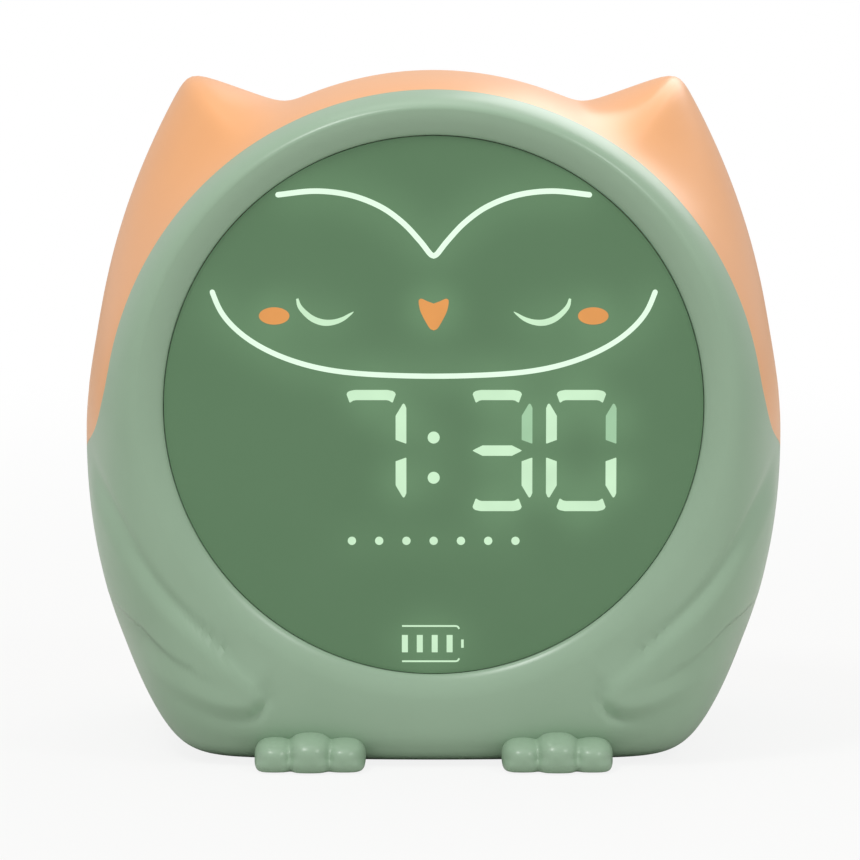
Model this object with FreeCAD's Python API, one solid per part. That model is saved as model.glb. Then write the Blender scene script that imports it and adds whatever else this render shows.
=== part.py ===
# Owl night light alarm clock for a child's bedside.
# Millimetres, Z up, the face looks along -Y.
# The origin is on the table, midway between the sides and midway from front to back.

import FreeCAD, Part
import math
import os

V = FreeCAD.Vector

# Body outline, seen from the front: an ellipse over the widest level and a longer one under it
HALF_WIDTH = 69.2
WIDEST_HEIGHT = 60.7
DOME_RISE = 71.7
BELLY_DROP = 90.3
BASE_HEIGHT = 1.2
BASE_TRIM = 1.0
BASE_CORNER_POWER = 14

# Depth of the body
RIM_FRONT = -45.3
WIDEST_DEPTH = 5.0
BACK_PANEL = 50.0
BACK_PANEL_RADIUS = 44.0
WALL = 2.4

# Round face
FACE_HEIGHT = 69.4
LENS_RADIUS = 51.4
LENS_THICKNESS = 3.0
LENS_FRONT = -43.0
RIM_CREST_RADIUS = 56.4
FACE_SIDES = 72
LENS_GAP = 0.3

# Ears: the tip, the foot of the outer edge and the dip beside the crown, from the face centre
EAR_TIP = (47.0, 64.6)
EAR_OUTER_FOOT = (66.0, 17.0)
EAR_INNER_FOOT = (30.0, 56.4)
EAR_TIP_SHARPNESS = 36

# Line where the peach rear housing meets the green front one, as (depth, height) from the top
PARTING_CURVE = [(-37.2, 76.0), (-36.3, 71.5), (-32.7, 65.8), (-26.6, 62.3), (-12.0, 58.6),
                 (10.0, 51.0), (32.0, 39.5), (52.0, 26.0)]

# Wings, outlined as (across, up) from the shoulder round the tip
WING_PROUD = 1.1
WING_UPPER_EDGE = [(68.5, 63.0), (61.5, 50.2), (52.3, 35.4), (40.9, 23.9), (34.0, 18.2), (31.6, 13.2)]
WING_LOWER_EDGE = [(31.6, 13.2), (34.6, 9.6), (42.0, 9.9), (52.9, 14.7), (60.0, 19.5)]
WING_REAR = 8.0

# Feet
FOOT_CENTRE = 23.6
FOOT_WIDTH = 21.0
FOOT_FRONT = -52.0
FOOT_REAR = -38.0
FOOT_HEIGHT = 6.6
FOOT_LIFT = 0.2
PEG_DIAMETER = 5.0

# Rubber pads
PAD_DIAMETER = 12.0
PAD_PLACES = [(-30.0, -24.0), (30.0, -24.0), (-27.0, 30.0), (27.0, 30.0)]

# Icon light box, film and display board
FILM_THICKNESS = 0.25
TAPE_THICKNESS = 0.2
SEAT_LIP = 2.0
LIGHT_BOX_DEPTH = 7.6
BOARD_THICKNESS = 1.6
DISPLAY_LUG_RADIUS = 55.2
DISPLAY_LUG_ANGLES = [22.0, 158.0, 202.0, 338.0]
DISPLAY_BOSS_DIAMETER = 5.6
LUG_HALF = 3.3
DIGIT_HEIGHT = 23.0
DIGIT_WIDTH = 13.0
SEGMENT_WIDTH = 2.3
DIGIT_LEVEL = 60.8
DIGIT_PLACES = [-27.3, -12.1, 12.7, 27.9]
SEGMENT_GAP = 0.7
COLON_LEVELS = [55.7, 63.3]
COLON_SIZE = 2.6
DAY_LEVEL = 43.6
DAY_SPACING = 5.2
DAY_SIZE = 2.0
CHARGE_LEVEL = 24.2
CHARGE_SPACING = 2.4
CHARGE_HEIGHT = 4.4

# Owl face, from the middle outwards, as (across, up)
BROW_LINE = [(0.6, 98.6), (4.7, 103.6), (10.4, 107.6), (20.0, 110.2), (30.2, 109.4)]
BROW_WIDTH = 1.2
EYE_LINE = [(15.4, 86.6), (18.0, 84.9), (21.2, 84.9), (24.4, 86.8), (26.3, 89.8)]
EYE_WIDTH = 1.2
CHEEK_PLACE = (30.5, 86.9)
CHEEK_SIZE = (5.8, 2.8)
FACE_LINE = [(0.0, 75.0), (16.2, 75.7), (26.6, 77.9), (34.7, 81.7), (40.0, 86.6), (42.2, 91.6)]
FACE_LINE_WIDTH = 1.0
BEAK_LEVEL = 87.1
BEAK_WIDTH = 5.4
BEAK_HEIGHT = 5.9

# Back controls
BUTTON_DIAMETER = 7.6
BUTTON_LEVEL = 95.0
BUTTON_SPACING = 14.0
BUTTON_TRAVEL = 0.5
BUTTON_PROUD = 1.2
BUTTON_GAP = 0.15
CONTROL_LEVEL = 77.0
SLIDER_PLACE = -24.0
SLIDER_TRAVEL = 1.0
USB_PLACE = 24.0
RESET_DIAMETER = 1.6

# Main board
MAIN_BOARD_REAR = 40.0
MAIN_BOARD_HALF_WIDTH = 36.0
MAIN_BOARD_LOW = 68.0
MAIN_BOARD_HIGH = 102.0

# Speaker
SPEAKER_LEVEL = 48.0
SPEAKER_RADIUS = 15.0
SPEAKER_DEPTH = 11.0
GRILLE_HOLE = 2.4
GRILLE_PITCH = 4.2

# Battery
CELL_DIAMETER = 18.4
CELL_LENGTH = 65.0
CELL_DEPTH = 6.0
CELL_GAP = 0.2

# Screws that close the case
CASE_BOSS_DIAMETER = 7.4
CASE_SCREW_PLACES = [(-38.5, 107.9), (38.5, 107.9), (-47.0, 38.5), (47.0, 38.5)]
CASE_WELL_DIAMETER = 7.0
CASE_WELL_FLOOR = 30.0
CASE_SCREW_LENGTH = 14.0

CLEARANCE = 0.1
PILOT_SHARE = 0.8


def save(name, shape):
    """Write one sub-part."""
    os.makedirs("parts", exist_ok=True)
    shape.exportStep("parts/" + name + ".step")
    print(name, round(shape.Volume, 1), "valid" if shape.isValid() else "NOT VALID", len(shape.Solids))


def cylinder(radius, start, length, direction=V(0, 1, 0)):
    """A round bar from a start point along a direction."""
    return Part.makeCylinder(radius, length, start, direction)


def prism(radius, start, length, direction=V(0, 1, 0), sides=12):
    """A many-sided bar of the same girth as a round one, for small hidden hardware."""
    placed = FreeCAD.Placement(start, FreeCAD.Rotation(V(0, 0, 1), direction))
    ring = []
    for index in range(sides):
        angle = 2 * math.pi * index / sides
        ring.append(placed.multVec(V(radius * math.cos(angle), radius * math.sin(angle), 0)))
    face = Part.Face(Part.makePolygon(ring + ring[:1]))
    return face.extrude(V(direction).normalize() * length)


def facet(points):
    """Flat face through its corner points."""
    return Part.Face(Part.makePolygon(points + points[:1]))


def closed_solid(faces):
    """Solid inside faces that meet edge to edge."""
    shell = Part.makeShell(faces)
    shell.sewShape()
    solid = Part.makeSolid(shell)
    if solid.Volume < 0:
        solid.reverse()
    return solid


def turned(profile, height, sides):
    """Many-sided turned part on the level axis at a height, from a closed ring of (radius, depth) pairs."""
    corners = []
    for side in range(sides + 1):
        angle = 2 * math.pi * (side % sides) / sides
        corners.append([V(r * math.cos(angle), y, height + r * math.sin(angle)) for r, y in profile])
    faces = []
    for near, far in zip(corners, corners[1:]):
        for index, (radius, _) in enumerate(profile):
            after = (index + 1) % len(profile)
            ring = [near[index]]
            if profile[after][0] > 0:
                ring += [near[after], far[after]]
            elif radius > 0:
                ring.append(near[after])
            if radius > 0:
                ring.append(far[index])
            if len(ring) > 2:
                faces.append(facet(ring))
    return closed_solid(faces)


def tube(outer, inner, near, far, height, sides=48):
    """Many-sided flat ring on the level axis at a height."""
    return turned([(inner, near), (outer, near), (outer, far), (inner, far)], height, sides)


def block(low, high):
    """A box from its lowest to its highest corner."""
    size = V(*high) - V(*low)
    return Part.makeBox(size.x, size.y, size.z, V(*low))


def joined(shapes):
    """Shapes that touch or overlap, fused to one."""
    first = shapes[0]
    return first.fuse(shapes[1:]).removeSplitter() if len(shapes) > 1 else first


# Body skin

def dome_radius(angle):
    """Distance from the face centre to the body outline without ears."""
    drop = FACE_HEIGHT - WIDEST_HEIGHT
    for rise in (DOME_RISE, BELLY_DROP):
        a = (math.cos(angle) / HALF_WIDTH) ** 2 + (math.sin(angle) / rise) ** 2
        b = 2 * drop * math.sin(angle) / rise ** 2
        c = (drop / rise) ** 2 - 1
        radius = (math.sqrt(b * b - 4 * a * c) - b) / (2 * a)
        if radius * math.sin(angle) + drop >= 0:
            break
    if math.sin(angle) > -0.05:
        return radius
    floor = (FACE_HEIGHT - BASE_HEIGHT + BASE_TRIM) / -math.sin(angle)
    power = BASE_CORNER_POWER
    return (radius ** -power + floor ** -power) ** (-1 / power)


def edge_radius(start, end, angle):
    """Polar radius of the straight line between two points of an ear's outline."""
    across = end[1] - start[1]
    along = start[0] - end[0]
    reach = across * start[0] + along * start[1]
    return abs(reach / (across * math.cos(angle) + along * math.sin(angle)))


def ear_radius(angle):
    """Polar radius of an ear with a rounded tip, or nothing away from the ears."""
    side = angle if math.cos(angle) >= 0 else math.pi - angle
    if not math.radians(2) < side < math.radians(80):
        return 0.0
    outer = edge_radius(EAR_OUTER_FOOT, EAR_TIP, side)
    inner = edge_radius(EAR_TIP, EAR_INNER_FOOT, side)
    near = min(outer, inner)
    power = EAR_TIP_SHARPNESS
    return near * ((near / outer) ** power + (near / inner) ** power) ** (-1 / power)


def outline_radius(angle, ear_share):
    """Body outline with a share of the ears' height."""
    dome = dome_radius(angle)
    ear = ear_radius(angle)
    if ear <= 0:
        return dome
    high = max(dome, ear)
    power = 50
    both = high * ((dome / high) ** power + (ear / high) ** power) ** (1 / power)
    return dome + ear_share * (both - dome)


def corner_power(angle):
    """How square the body is from front to back: round above, square at the base."""
    share = max(0.0, min(1.0, (-math.sin(angle) - 0.1) / 0.75))
    return 2.0 + 2.6 * share * share * (3 - 2 * share)


def swept_point(inner, outer, near, far, turn, power):
    """A point of a rounded quarter between two radii and two depths."""
    rise = math.sin(turn) ** (2 / power)
    run = max(math.cos(turn), 0.0) ** (2 / power) if turn < math.pi / 2 - 1e-6 else 0.0
    return inner + (outer - inner) * rise, far + (near - far) * run


# Quarter turns, in degrees, where the skin is outlined, with the share of the ears there
FRONT_STEPS = [(25, 0.0), (45, 0.1), (65, 0.65), (90, 1.0)]
REAR_STEPS = [(65, 0.8), (40, 0.35), (20, 0.05), (0, 0.0)]
INNER_FRONT_STEPS = [(30, 0.0), (55, 0.0), (90, 0.75)]
INNER_REAR_STEPS = [(50, 0.3), (20, 0.0), (0, 0.0)]


def skin_points(angle, front_steps, rear_steps, inset):
    """Points from the rim of the face to the back panel, at one angle round the face."""
    power = corner_power(angle)
    points = []
    if inset == 0:
        points.append((LENS_RADIUS + LENS_GAP, LENS_FRONT + 0.6))
        points.append((LENS_RADIUS + 1.8, RIM_FRONT + 1.0))
    crest = RIM_CREST_RADIUS - inset / 2
    points.append((crest, RIM_FRONT + inset))
    for degrees, ears in front_steps:
        rim = outline_radius(angle, ears) - inset
        turn = math.radians(degrees)
        points.append(swept_point(crest, rim, RIM_FRONT + inset, WIDEST_DEPTH, turn, power))
    panel = BACK_PANEL_RADIUS
    for degrees, ears in rear_steps:
        rim = outline_radius(angle, ears) - inset
        turn = math.radians(degrees)
        points.append(swept_point(panel, rim, BACK_PANEL - inset, WIDEST_DEPTH, turn, power))
    return points


def half_turn(fine, middle, coarse):
    """Angles up one side of the body, closest together round the ear, and their mirror."""
    side = [-90.0]
    while side[-1] < 90:
        here = side[-1]
        step = fine if 40 <= here < 68 else (middle if 16 <= here < 78 else coarse)
        side.append(here + step)
    side[-1] = 90.0
    return side + [180 - here for here in reversed(side[1:-1])]


def facet_solid(rings):
    """Closed skin of flat facets through rings of points, with flat ends."""
    faces = [facet(rings[0]), facet(rings[-1])]
    for near, far in zip(rings, rings[1:]):
        for index in range(len(near)):
            after = (index + 1) % len(near)
            a, b, c, d = near[index], near[after], far[after], far[index]
            if (a - c).Length < (b - d).Length:
                faces += [facet([a, b, c]), facet([a, c, d])]
            else:
                faces += [facet([a, b, d]), facet([b, c, d])]
    return closed_solid(faces)


def body_solid(front_steps, rear_steps, inset, angles):
    """Closed skin of the body: outlines round the face axis, lofted from front to back."""
    rows = []
    for degrees in angles:
        angle = math.radians(degrees)
        row = skin_points(angle, front_steps, rear_steps, inset)
        rows.append([V(r * math.cos(angle), y, FACE_HEIGHT + r * math.sin(angle)) for r, y in row])
    return facet_solid([[row[level] for row in rows] for level in range(len(rows[0]))])


def outer_body():
    """Solid body with a flat underside."""
    skin = body_solid(FRONT_STEPS, REAR_STEPS, 0, half_turn(3.5, 5.0, 6.0))
    reach = 3 * HALF_WIDTH
    return skin.cut(block((-reach, -reach, -reach), (reach, reach, BASE_HEIGHT)))


def inner_body():
    """Room inside the walls."""
    room = body_solid(INNER_FRONT_STEPS, INNER_REAR_STEPS, WALL, half_turn(9.0, 9.0, 12.0))
    reach = 3 * HALF_WIDTH
    return room.cut(block((-reach, -reach, -reach), (reach, reach, BASE_HEIGHT + WALL)))



def proud_body():
    """Skin that stands a wing's height outside the body."""
    return body_solid(FRONT_STEPS, REAR_STEPS, -WING_PROUD, half_turn(9.0, 9.0, 9.0))


def parting_block(reach=200.0):
    """Everything behind the line where the rear housing meets the front one."""
    curve = Part.BSplineCurve()
    curve.interpolate([V(0, y, z) for y, z in PARTING_CURVE])
    first = V(0, PARTING_CURVE[0][0], PARTING_CURVE[0][1])
    last = V(0, PARTING_CURVE[-1][0], PARTING_CURVE[-1][1])
    above = V(0, first.y, reach)
    behind = [V(0, reach, reach), V(0, reach, last.z)]
    lines = [Part.makeLine(above, first), Part.makeLine(last, behind[1])]
    lines.append(Part.makeLine(behind[1], behind[0]))
    lines.append(Part.makeLine(behind[0], above))
    outline = Part.Wire(Part.__sortEdges__([curve.toShape()] + lines))
    outline.translate(V(-reach / 2, 0, 0))
    return Part.Face(outline).extrude(V(reach, 0, 0))


# Flat outlines and windows in the face plane

def face_ring(points, depth=0.0):
    """Closed straight-sided outline in the face plane, from (across, up) pairs."""
    ring = [V(x, depth, z) for x, z in points]
    return Part.Face(Part.makePolygon(ring + ring[:1]))


def stroke(points, width, depth, steps=3):
    """Band of even width along a smooth line through (across, up) points, in short flat runs."""
    curve = Part.BSplineCurve()
    curve.interpolate([V(x, depth, z) for x, z in points])
    count = steps * (len(points) - 1)
    first, last = curve.FirstParameter, curve.LastParameter
    sides = ([], [])
    for index in range(count + 1):
        at = first + (last - first) * index / count
        along = V(*curve.tangent(at)[0])
        normal = V(-along.z, 0, along.x).normalize() * (width / 2)
        sides[0].append(curve.value(at) + normal)
        sides[1].append(curve.value(at) - normal)
    ring = sides[0] + sides[1][::-1]
    return Part.Face(Part.makePolygon(ring + ring[:1]))


def oval(x, z, width, height, depth, steps=6):
    """Slot with round ends, lying level."""
    radius = height / 2
    half = width / 2 - radius
    ring = []
    for side in (1, -1):
        for step in range(steps + 1):
            turn = side * (math.pi * step / steps - math.pi / 2)
            ring.append((x + side * half + side * radius * math.cos(turn), z + radius * math.sin(turn)))
    return face_ring(ring, depth)


def segment_bar(x, z, length, upright, depth):
    """One bar of a digit, pointed at both ends."""
    half = length / 2
    thick = SEGMENT_WIDTH / 2
    ring = [(-half, 0), (thick - half, thick), (half - thick, thick), (half, 0)]
    ring += [(half - thick, -thick), (thick - half, -thick)]
    if upright:
        ring = [(-b, a) for a, b in ring]
    return face_ring([(x + a, z + b) for a, b in ring], depth)


def digit_windows(x, depth):
    """Seven bars of one digit."""
    wide = (DIGIT_WIDTH - SEGMENT_WIDTH) / 2
    tall = (DIGIT_HEIGHT - SEGMENT_WIDTH) / 2
    across = 2 * wide - SEGMENT_GAP
    upright = tall - SEGMENT_GAP
    bars = [segment_bar(x, DIGIT_LEVEL + level * tall, across, False, depth) for level in (-1, 0, 1)]
    for side in (-1, 1):
        for level in (-0.5, 0.5):
            place = DIGIT_LEVEL + level * tall
            bars.append(segment_bar(x + side * wide, place, upright, True, depth))
    return bars


def clock_windows(depth):
    """Windows of the time, the day dots and the charge sign, with a place for a light in each."""
    windows = []
    lights = []
    for x in DIGIT_PLACES:
        for bar in digit_windows(x, depth):
            windows.append(bar)
            lights.append(bar.CenterOfMass)
    for level in COLON_LEVELS:
        windows.append(oval(0, level, COLON_SIZE + 0.4, COLON_SIZE, depth))
        lights.append(V(0, depth, level))
    for day in range(7):
        x = (day - 3) * DAY_SPACING
        windows.append(oval(x, DAY_LEVEL, DAY_SIZE + 0.4, DAY_SIZE, depth))
        lights.append(V(x, depth, DAY_LEVEL))
    for bar in range(5):
        x = (bar - 2.25) * CHARGE_SPACING
        low, high = CHARGE_LEVEL - CHARGE_HEIGHT / 2, CHARGE_LEVEL + CHARGE_HEIGHT / 2
        ring = [(x - 0.6, low), (x + 0.6, low), (x + 0.6, high), (x - 0.6, high)]
        windows.append(face_ring(ring, depth))
        lights.append(V(x, depth, CHARGE_LEVEL))
    return windows, lights


def owl_windows(depth):
    """Windows of the brows, cheeks, closed eyes, beak and face line."""
    windows = []
    lights = []
    for side in (-1, 1):
        for line, width in ((BROW_LINE, BROW_WIDTH), (EYE_LINE, EYE_WIDTH)):
            points = [(side * x, z) for x, z in line]
            windows.append(stroke(points, width, depth))
            middle = points[len(points) // 2]
            lights.append(V(middle[0], depth, middle[1]))
        x, z = side * CHEEK_PLACE[0], CHEEK_PLACE[1]
        windows.append(oval(x, z, CHEEK_SIZE[0], CHEEK_SIZE[1], depth))
        lights.append(V(x, depth, z))
        lights.append(V(side * FACE_LINE[-2][0], depth, FACE_LINE[-2][1]))
    mirrored = [(-x, z) for x, z in reversed(FACE_LINE[1:])]
    windows.append(stroke(mirrored + FACE_LINE, FACE_LINE_WIDTH, depth))
    lights.append(V(0, depth, FACE_LINE[0][1]))
    windows.append(beak(depth))
    lights.append(V(0, depth, BEAK_LEVEL))
    return windows, lights


def beak(depth):
    """Heart shape: two round lobes over a point."""
    half = BEAK_WIDTH / 2
    lobe = BEAK_WIDTH * 0.28
    top = BEAK_LEVEL + BEAK_HEIGHT / 2
    low = BEAK_LEVEL - BEAK_HEIGHT / 2
    notch = V(0, depth, top - lobe + math.sqrt(lobe ** 2 - (half - lobe) ** 2))
    tip = V(0, depth, low)
    edges = []
    for side in (-1, 1):
        outer = V(side * half, depth, top - lobe)
        crown = V(side * (half - lobe), depth, top)
        bend = V(side * half * 0.62, depth, (top - lobe + low) / 2 - 0.2)
        edges.append(Part.Arc(notch, crown, outer).toShape())
        edges.append(Part.Arc(outer, bend, tip).toShape())
    return Part.Face(Part.Wire(Part.__sortEdges__(edges)))


# Small hardware

def screw(seat, direction, head, shaft, length):
    """Screw whose head stands on its seat and whose shaft goes along the direction."""
    head_height = head * 0.36
    bar = prism(shaft / 2, seat, length, direction, 8)
    return bar.fuse(prism(head / 2, seat - direction * head_height, head_height, direction))


def group(shapes):
    """Separate solids kept together in one node."""
    return Part.makeCompound(shapes)



def route_wire(points):
    """Straight runs joined by tangent arcs, and the radius of each arc."""
    edges = []
    radii = []
    here = points[0]
    for index in range(1, len(points) - 1):
        corner = points[index]
        back = points[index - 1] - corner
        ahead = points[index + 1] - corner
        reach = 0.45 * min(back.Length, ahead.Length)
        half_turn_angle = (math.pi - back.getAngle(ahead)) / 2
        radius = reach / math.tan(half_turn_angle)
        radii.append(round(radius, 1))
        back.normalize()
        ahead.normalize()
        inward = (back + ahead).normalize()
        start = corner + back * reach
        end = corner + ahead * reach
        middle = corner + inward * (radius / math.cos(half_turn_angle) - radius)
        edges.append(Part.makeLine(here, start))
        edges.append(Part.Arc(start, middle, end).toShape())
        here = end
    edges.append(Part.makeLine(here, points[-1]))
    return Part.Wire(edges), radii


def lead(name, points, diameter):
    """Insulated wire along a route."""
    path, radii = route_wire(points)
    direction = points[1] - points[0]
    placed = FreeCAD.Placement(points[0], FreeCAD.Rotation(V(0, 0, 1), direction))
    ring = [placed.multVec(V(diameter / 2, 0, 0))]
    for step in range(1, 6):
        turn = math.radians(60 * step)
        ring.append(placed.multVec(V(diameter / 2 * math.cos(turn), diameter / 2 * math.sin(turn), 0)))
    body = path.makePipeShell([Part.makePolygon(ring + ring[:1])], True, False)
    print(name, "bend radii", radii, "length", round(path.Length, 1))
    return body


# Case

def seat_ring():
    """Ledge inside the round opening that the lens is taped to."""
    inner = LENS_RADIUS - SEAT_LIP
    bore = LENS_RADIUS + LENS_GAP
    ledge = LENS_FRONT + LENS_THICKNESS + TAPE_THICKNESS
    outer = RIM_CREST_RADIUS - 0.9
    profile = [(inner, ledge), (bore, ledge), (bore, RIM_FRONT + 2.1), (outer, RIM_FRONT + 2.1)]
    profile += [(outer, ledge - 1.2), (bore + 2.2, ledge + SEAT_LIP), (inner, ledge + SEAT_LIP)]
    return turned(profile, FACE_HEIGHT, FACE_SIDES)


def polar_place(radius, degrees, depth):
    """Point at a radius and angle round the face axis."""
    angle = math.radians(degrees)
    return V(radius * math.cos(angle), depth, FACE_HEIGHT + radius * math.sin(angle))


LIGHT_BOX_FRONT = LENS_FRONT + LENS_THICKNESS + FILM_THICKNESS
BOARD_FRONT = LIGHT_BOX_FRONT + LIGHT_BOX_DEPTH
BOARD_REAR = BOARD_FRONT + BOARD_THICKNESS
DISPLAY_LUGS = [polar_place(DISPLAY_LUG_RADIUS, degrees, 0) for degrees in DISPLAY_LUG_ANGLES]


def wing_prisms():
    """Wing outlines run from front to back on both sides."""
    prisms = []
    for side in (-1, 1):
        upper = Part.BSplineCurve()
        upper.interpolate([V(side * x, RIM_FRONT - 5, z) for x, z in WING_UPPER_EDGE])
        lower = Part.BSplineCurve()
        lower.interpolate([V(side * x, RIM_FRONT - 5, z) for x, z in WING_LOWER_EDGE])
        top, end = WING_UPPER_EDGE[0], WING_LOWER_EDGE[-1]
        beyond = side * (HALF_WIDTH + 10)
        corners = [V(side * end[0], RIM_FRONT - 5, end[1]), V(beyond, RIM_FRONT - 5, end[1] + 6)]
        corners += [V(beyond, RIM_FRONT - 5, top[1]), V(side * top[0], RIM_FRONT - 5, top[1])]
        edges = [upper.toShape(), lower.toShape()]
        edges += [Part.makeLine(a, b) for a, b in zip(corners, corners[1:])]
        face = Part.Face(Part.Wire(Part.__sortEdges__(edges)))
        prisms.append(face.extrude(V(0, WING_REAR - RIM_FRONT + 5, 0)))
    return prisms


def foot_toes(side):
    """Three rounded toes side by side, as tapering bars along the depth."""
    toe_half = FOOT_WIDTH / 6
    rise = (FOOT_HEIGHT - FOOT_LIFT) / 2
    shape = [(0.0, 0.30), (0.6, 0.62), (2.0, 0.88), (4.4, 1.0), (FOOT_REAR - FOOT_FRONT, 0.96)]
    toes = []
    for place in (-1, 0, 1):
        x = side * FOOT_CENTRE + place * FOOT_WIDTH / 3
        start = FOOT_FRONT + (0.7 if place else 0.0)
        rings = []
        for along, share in shape:
            ring = []
            for step in range(12):
                turn = math.radians(step * 30 + 15)
                across = x + 1.06 * toe_half * share * math.cos(turn)
                up = FOOT_LIFT + rise + rise * share * math.sin(turn)
                ring.append(V(across, start + along, up))
            rings.append(ring)
        toes.append(facet_solid(rings))
    return joined(toes)


def peg(side, place, diameter):
    """Glued peg between a foot and the belly."""
    x = side * FOOT_CENTRE + place * FOOT_WIDTH / 3
    up = FOOT_LIFT + (FOOT_HEIGHT - FOOT_LIFT) * 0.62
    return prism(diameter / 2, V(x, PEG_FRONT, up), PEG_REAR - PEG_FRONT)


PEG_FRONT = -47.5
PEG_REAR = -40.5


def foot(side, skin):
    """Foot cut to the belly, with its two pegs."""
    toes = foot_toes(side).cut(skin)
    toes = max(toes.Solids, key=lambda solid: solid.Volume)
    return joined([toes] + [peg(side, place, PEG_DIAMETER - 2 * CLEARANCE) for place in (-1, 1)])


CELL_LEVEL = BASE_HEIGHT + WALL + 1.2 + CELL_DIAMETER / 2
CRADLE_PLACES = [-24.0, 24.0]
CLAMP_WIDTH = 14.0
CLAMP_THICKNESS = 1.6
CLAMP_FOOT_LEVEL = BASE_HEIGHT + WALL + 6.0
CLAMP_SCREW_REACH = CELL_DIAMETER / 2 + CELL_GAP + CLAMP_THICKNESS + 4.0


def cradle():
    """Ribs under the cell and posts for its clamp."""
    shapes = []
    bore = prism(CELL_DIAMETER / 2 + CELL_GAP, V(-60, CELL_DEPTH, CELL_LEVEL), 120, V(1, 0, 0), 24)
    for x in CRADLE_PLACES:
        rib = block((x - 1.2, CELL_DEPTH - 11, BASE_HEIGHT + WALL - 0.6), (x + 1.2, CELL_DEPTH + 11, CELL_LEVEL))
        shapes.append(rib.cut(bore))
    for side in (-1, 1):
        start = V(0, CELL_DEPTH + side * CLAMP_SCREW_REACH, BASE_HEIGHT + WALL - 0.6)
        shapes.append(prism(3.0, start, CLAMP_FOOT_LEVEL - start.z, V(0, 0, 1)))
    return shapes


def front_housing(skin, room, behind, feet_holes):
    """Green front shell: face rim, belly, wings and base."""
    proud = proud_body()
    wings = [proud.common(prism) for prism in wing_prisms()]
    shell = skin.fuse(wings).cut(room)
    shell = shell.cut(behind)
    added = [seat_ring()]
    for lug in DISPLAY_LUGS:
        start = V(lug.x, LENS_FRONT + 0.8, lug.z)
        added.append(prism(DISPLAY_BOSS_DIAMETER / 2, start, BOARD_FRONT - start.y))
    for x, z in CASE_SCREW_PLACES:
        start = V(x, RIM_FRONT + 4.8, z)
        added.append(prism(CASE_BOSS_DIAMETER / 2, start, CASE_WELL_FLOOR - 2.2 - start.y))
    added += cradle()
    shell = shell.fuse(added)
    bore = LENS_THICKNESS + TAPE_THICKNESS
    holes = [tube(LENS_RADIUS + LENS_GAP, 20.0, LENS_FRONT - 0.1, LENS_FRONT + bore, FACE_HEIGHT, FACE_SIDES)]
    pilot = CASE_SCREW_SHAFT * PILOT_SHARE / 2
    for x, z in CASE_SCREW_PLACES:
        holes.append(prism(pilot, V(x, CASE_WELL_FLOOR - 2.2 - CASE_SCREW_LENGTH, z), CASE_SCREW_LENGTH + 1))
    for lug in DISPLAY_LUGS:
        holes.append(prism(pilot, V(lug.x, BOARD_FRONT - 6.4, lug.z), 8))
    for side in (-1, 1):
        start = V(0, CELL_DEPTH + side * CLAMP_SCREW_REACH, CLAMP_FOOT_LEVEL - 5)
        holes.append(prism(pilot, start, 6, V(0, 0, 1)))
    for x, y in PAD_PLACES:
        holes.append(prism(PAD_DIAMETER / 2 + 2 * CLEARANCE, V(x, y, -1), 1 + PAD_TOP, V(0, 0, 1), 24))
    shell = shell.cut(holes + feet_holes)
    return max(shell.Solids, key=lambda solid: solid.Volume)


PAD_TOP = BASE_HEIGHT + 0.7
CASE_SCREW_SHAFT = 3.0
PANEL_INSIDE = BACK_PANEL - WALL
BUTTON_PLACES = [(index - 2) * BUTTON_SPACING for index in range(5)]
BUTTON_NAMES = ["set_button", "alarm_button", "light_button", "minus_button", "plus_button"]
BOARD_POSTS = [(-21.0, 100.2), (21.0, 100.2), (-33.0, 71.2), (33.0, 71.2)]
SPEAKER_SCREW_RADIUS = SPEAKER_RADIUS + 2.6
SPEAKER_SCREW_ANGLES = [90.0, 210.0, 330.0]
SPEAKER_GASKET = 0.6
SPEAKER_FLANGE = 1.2
USB_WIDTH = 8.94
USB_HEIGHT = 3.26
USB_REAR = BACK_PANEL - 0.6


def speaker_screw_places():
    """Screw places round the speaker, on the back panel."""
    places = []
    for degrees in SPEAKER_SCREW_ANGLES:
        angle = math.radians(degrees)
        x = SPEAKER_SCREW_RADIUS * math.cos(angle)
        places.append((x, SPEAKER_LEVEL + SPEAKER_SCREW_RADIUS * math.sin(angle)))
    return places


def grille_holes():
    """Rings of round holes in front of the speaker."""
    holes = [prism(GRILLE_HOLE / 2, V(0, PANEL_INSIDE - 1, SPEAKER_LEVEL), WALL + 2)]
    for ring in (1, 2):
        for index in range(6 * ring):
            angle = 2 * math.pi * index / (6 * ring)
            x = ring * GRILLE_PITCH * math.cos(angle)
            z = SPEAKER_LEVEL + ring * GRILLE_PITCH * math.sin(angle)
            holes.append(prism(GRILLE_HOLE / 2, V(x, PANEL_INSIDE - 1, z), WALL + 2))
    return holes


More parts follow.
